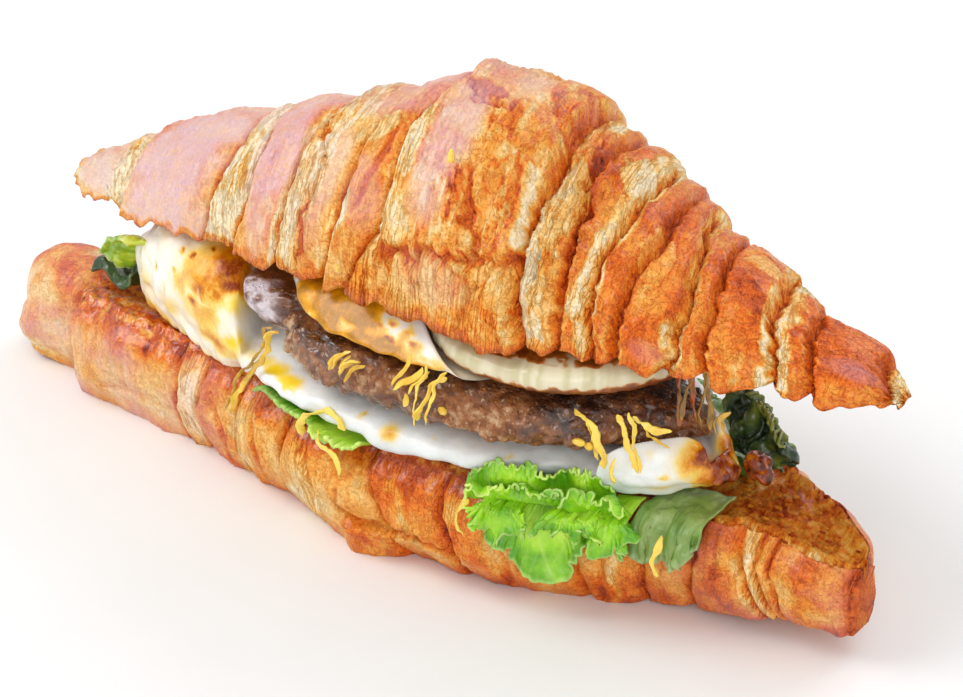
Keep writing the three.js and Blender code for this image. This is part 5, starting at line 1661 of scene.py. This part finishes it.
class CROISSANT_OT_cheese(bpy.types.Operator):
    """Builds the cheese shreds, the thin melted strands and the crumbs"""

    bl_idname = "croissant.cheese"
    bl_label = "Cheese"

    def execute(self, context):
        for i, (toast, points) in enumerate(SHREDS, 1):
            body = shred_body(points, i, toast)
            put(f"shred_{i:02d}", body, "Melted cheese", "cheese", f"cheese_{i:02d}")
        put("cheese_crumbs", cheese_crumbs_body(), "Melted cheese", "cheese")
        put("melted_cheese", melted_body(), "Melted cheese", "cheese")
        put("toast_crumbs", toast_crumbs_body(), "Baked crust", "crust_bottom")
        return {"FINISHED"}


def aim(thing, place):
    """Puts a lamp or the camera at the place, looking at the middle of the sandwich."""
    thing.location = place
    thing.rotation_euler = (TARGET - place).to_track_quat("-Z", "Y").to_euler()


class CROISSANT_OT_studio(bpy.types.Operator):
    """Builds the table, the lights and the camera"""

    bl_idname = "croissant.studio"
    bl_label = "Studio"

    def execute(self, context):
        scene, studio = context.scene, context.scene.croissant_studio
        paint = Look("Pale table")
        speckle = paint.noise(paint.place, 40.0, 2.0)
        greys = paint.ramp(speckle, {0.0: (0.86, 0.86, 0.86), 1.0: (0.9, 0.9, 0.9)})
        paint.fill(paint.shader, {"Base Color": greys, "Roughness": 0.7})
        mesh = bpy.data.meshes.new("table")
        reach = 3.0
        corners = [(-reach, -reach, 0), (reach, -reach, 0), (reach, reach, 0), (-reach, reach, 0)]
        mesh.from_pydata(corners, [], [(0, 1, 2, 3)])
        mesh.materials.append(paint.material)
        link("table", mesh)

        scene.world = bpy.data.worlds.new("White room")
        scene.world.use_nodes = True
        room = scene.world.node_tree.nodes["Background"]
        room.inputs["Color"].default_value = (1, 1, 1, 1)
        room.inputs["Strength"].default_value = studio.sky

        for name, place, size, energy in (("key", (-0.42, -0.3, 0.62), 0.42, studio.key),
                                          ("fill", (0.5, -0.55, 0.35), 0.5, studio.fill),
                                          ("back", (0.1, 0.6, 0.55), 0.5, studio.fill)):
            light = bpy.data.lights.new(name, "AREA")
            light.size, light.energy = size, energy
            aim(link(name, light), Vector(place))

        a, e = studio.azimuth, studio.elevation
        back = Vector((math.sin(a) * math.cos(e), -math.cos(a) * math.cos(e), math.sin(e)))
        data = bpy.data.cameras.new("camera")
        data.lens, data.sensor_width = studio.lens, 36.0
        data.clip_start, data.clip_end = 0.01, 20.0
        scene.camera = link("camera", data)
        aim(scene.camera, TARGET + back * studio.distance)
        scene.view_settings.view_transform = "Standard"
        return {"FINISHED"}


class CROISSANT_PT_panel(bpy.types.Panel):
    """Lists the pieces, colours and studio settings"""

    bl_idname = "CROISSANT_PT_panel"
    bl_label = "Croissant"
    bl_space_type = "VIEW_3D"
    bl_region_type = "UI"
    bl_category = "Croissant"

    def draw(self, context):
        for operator in OPERATORS:
            self.layout.operator(operator.bl_idname)
        for settings in (context.scene.croissant_tints, context.scene.croissant_studio):
            for key in settings.bl_rna.properties.keys():
                if key not in ("rna_type", "name"):
                    self.layout.prop(settings, key)


OPERATORS = (
    CROISSANT_OT_top_bun, CROISSANT_OT_bottom_bun, CROISSANT_OT_egg, CROISSANT_OT_meat, CROISSANT_OT_onion,
    CROISSANT_OT_lettuce, CROISSANT_OT_cheese, CROISSANT_OT_studio,
)
CLASSES = (CroissantTints, CroissantStudio, *OPERATORS, CROISSANT_PT_panel)


def register():
    """Makes the classes and settings known to Blender."""
    for cls in CLASSES:
        bpy.utils.register_class(cls)
    bpy.types.Scene.croissant_tints = bpy.props.PointerProperty(type=CroissantTints)
    bpy.types.Scene.croissant_studio = bpy.props.PointerProperty(type=CroissantStudio)


def unregister():
    """Takes them out again."""
    del bpy.types.Scene.croissant_tints
    del bpy.types.Scene.croissant_studio
    for cls in reversed(CLASSES):
        bpy.utils.unregister_class(cls)


def main():
    """Builds everything."""
    register()
    bpy.ops.croissant.top_bun()
    bpy.ops.croissant.bottom_bun()
    bpy.ops.croissant.egg()
    bpy.ops.croissant.meat()
    bpy.ops.croissant.onion()
    bpy.ops.croissant.lettuce()
    bpy.ops.croissant.cheese()
    bpy.ops.croissant.studio()


if __name__ == "__main__":
    main()
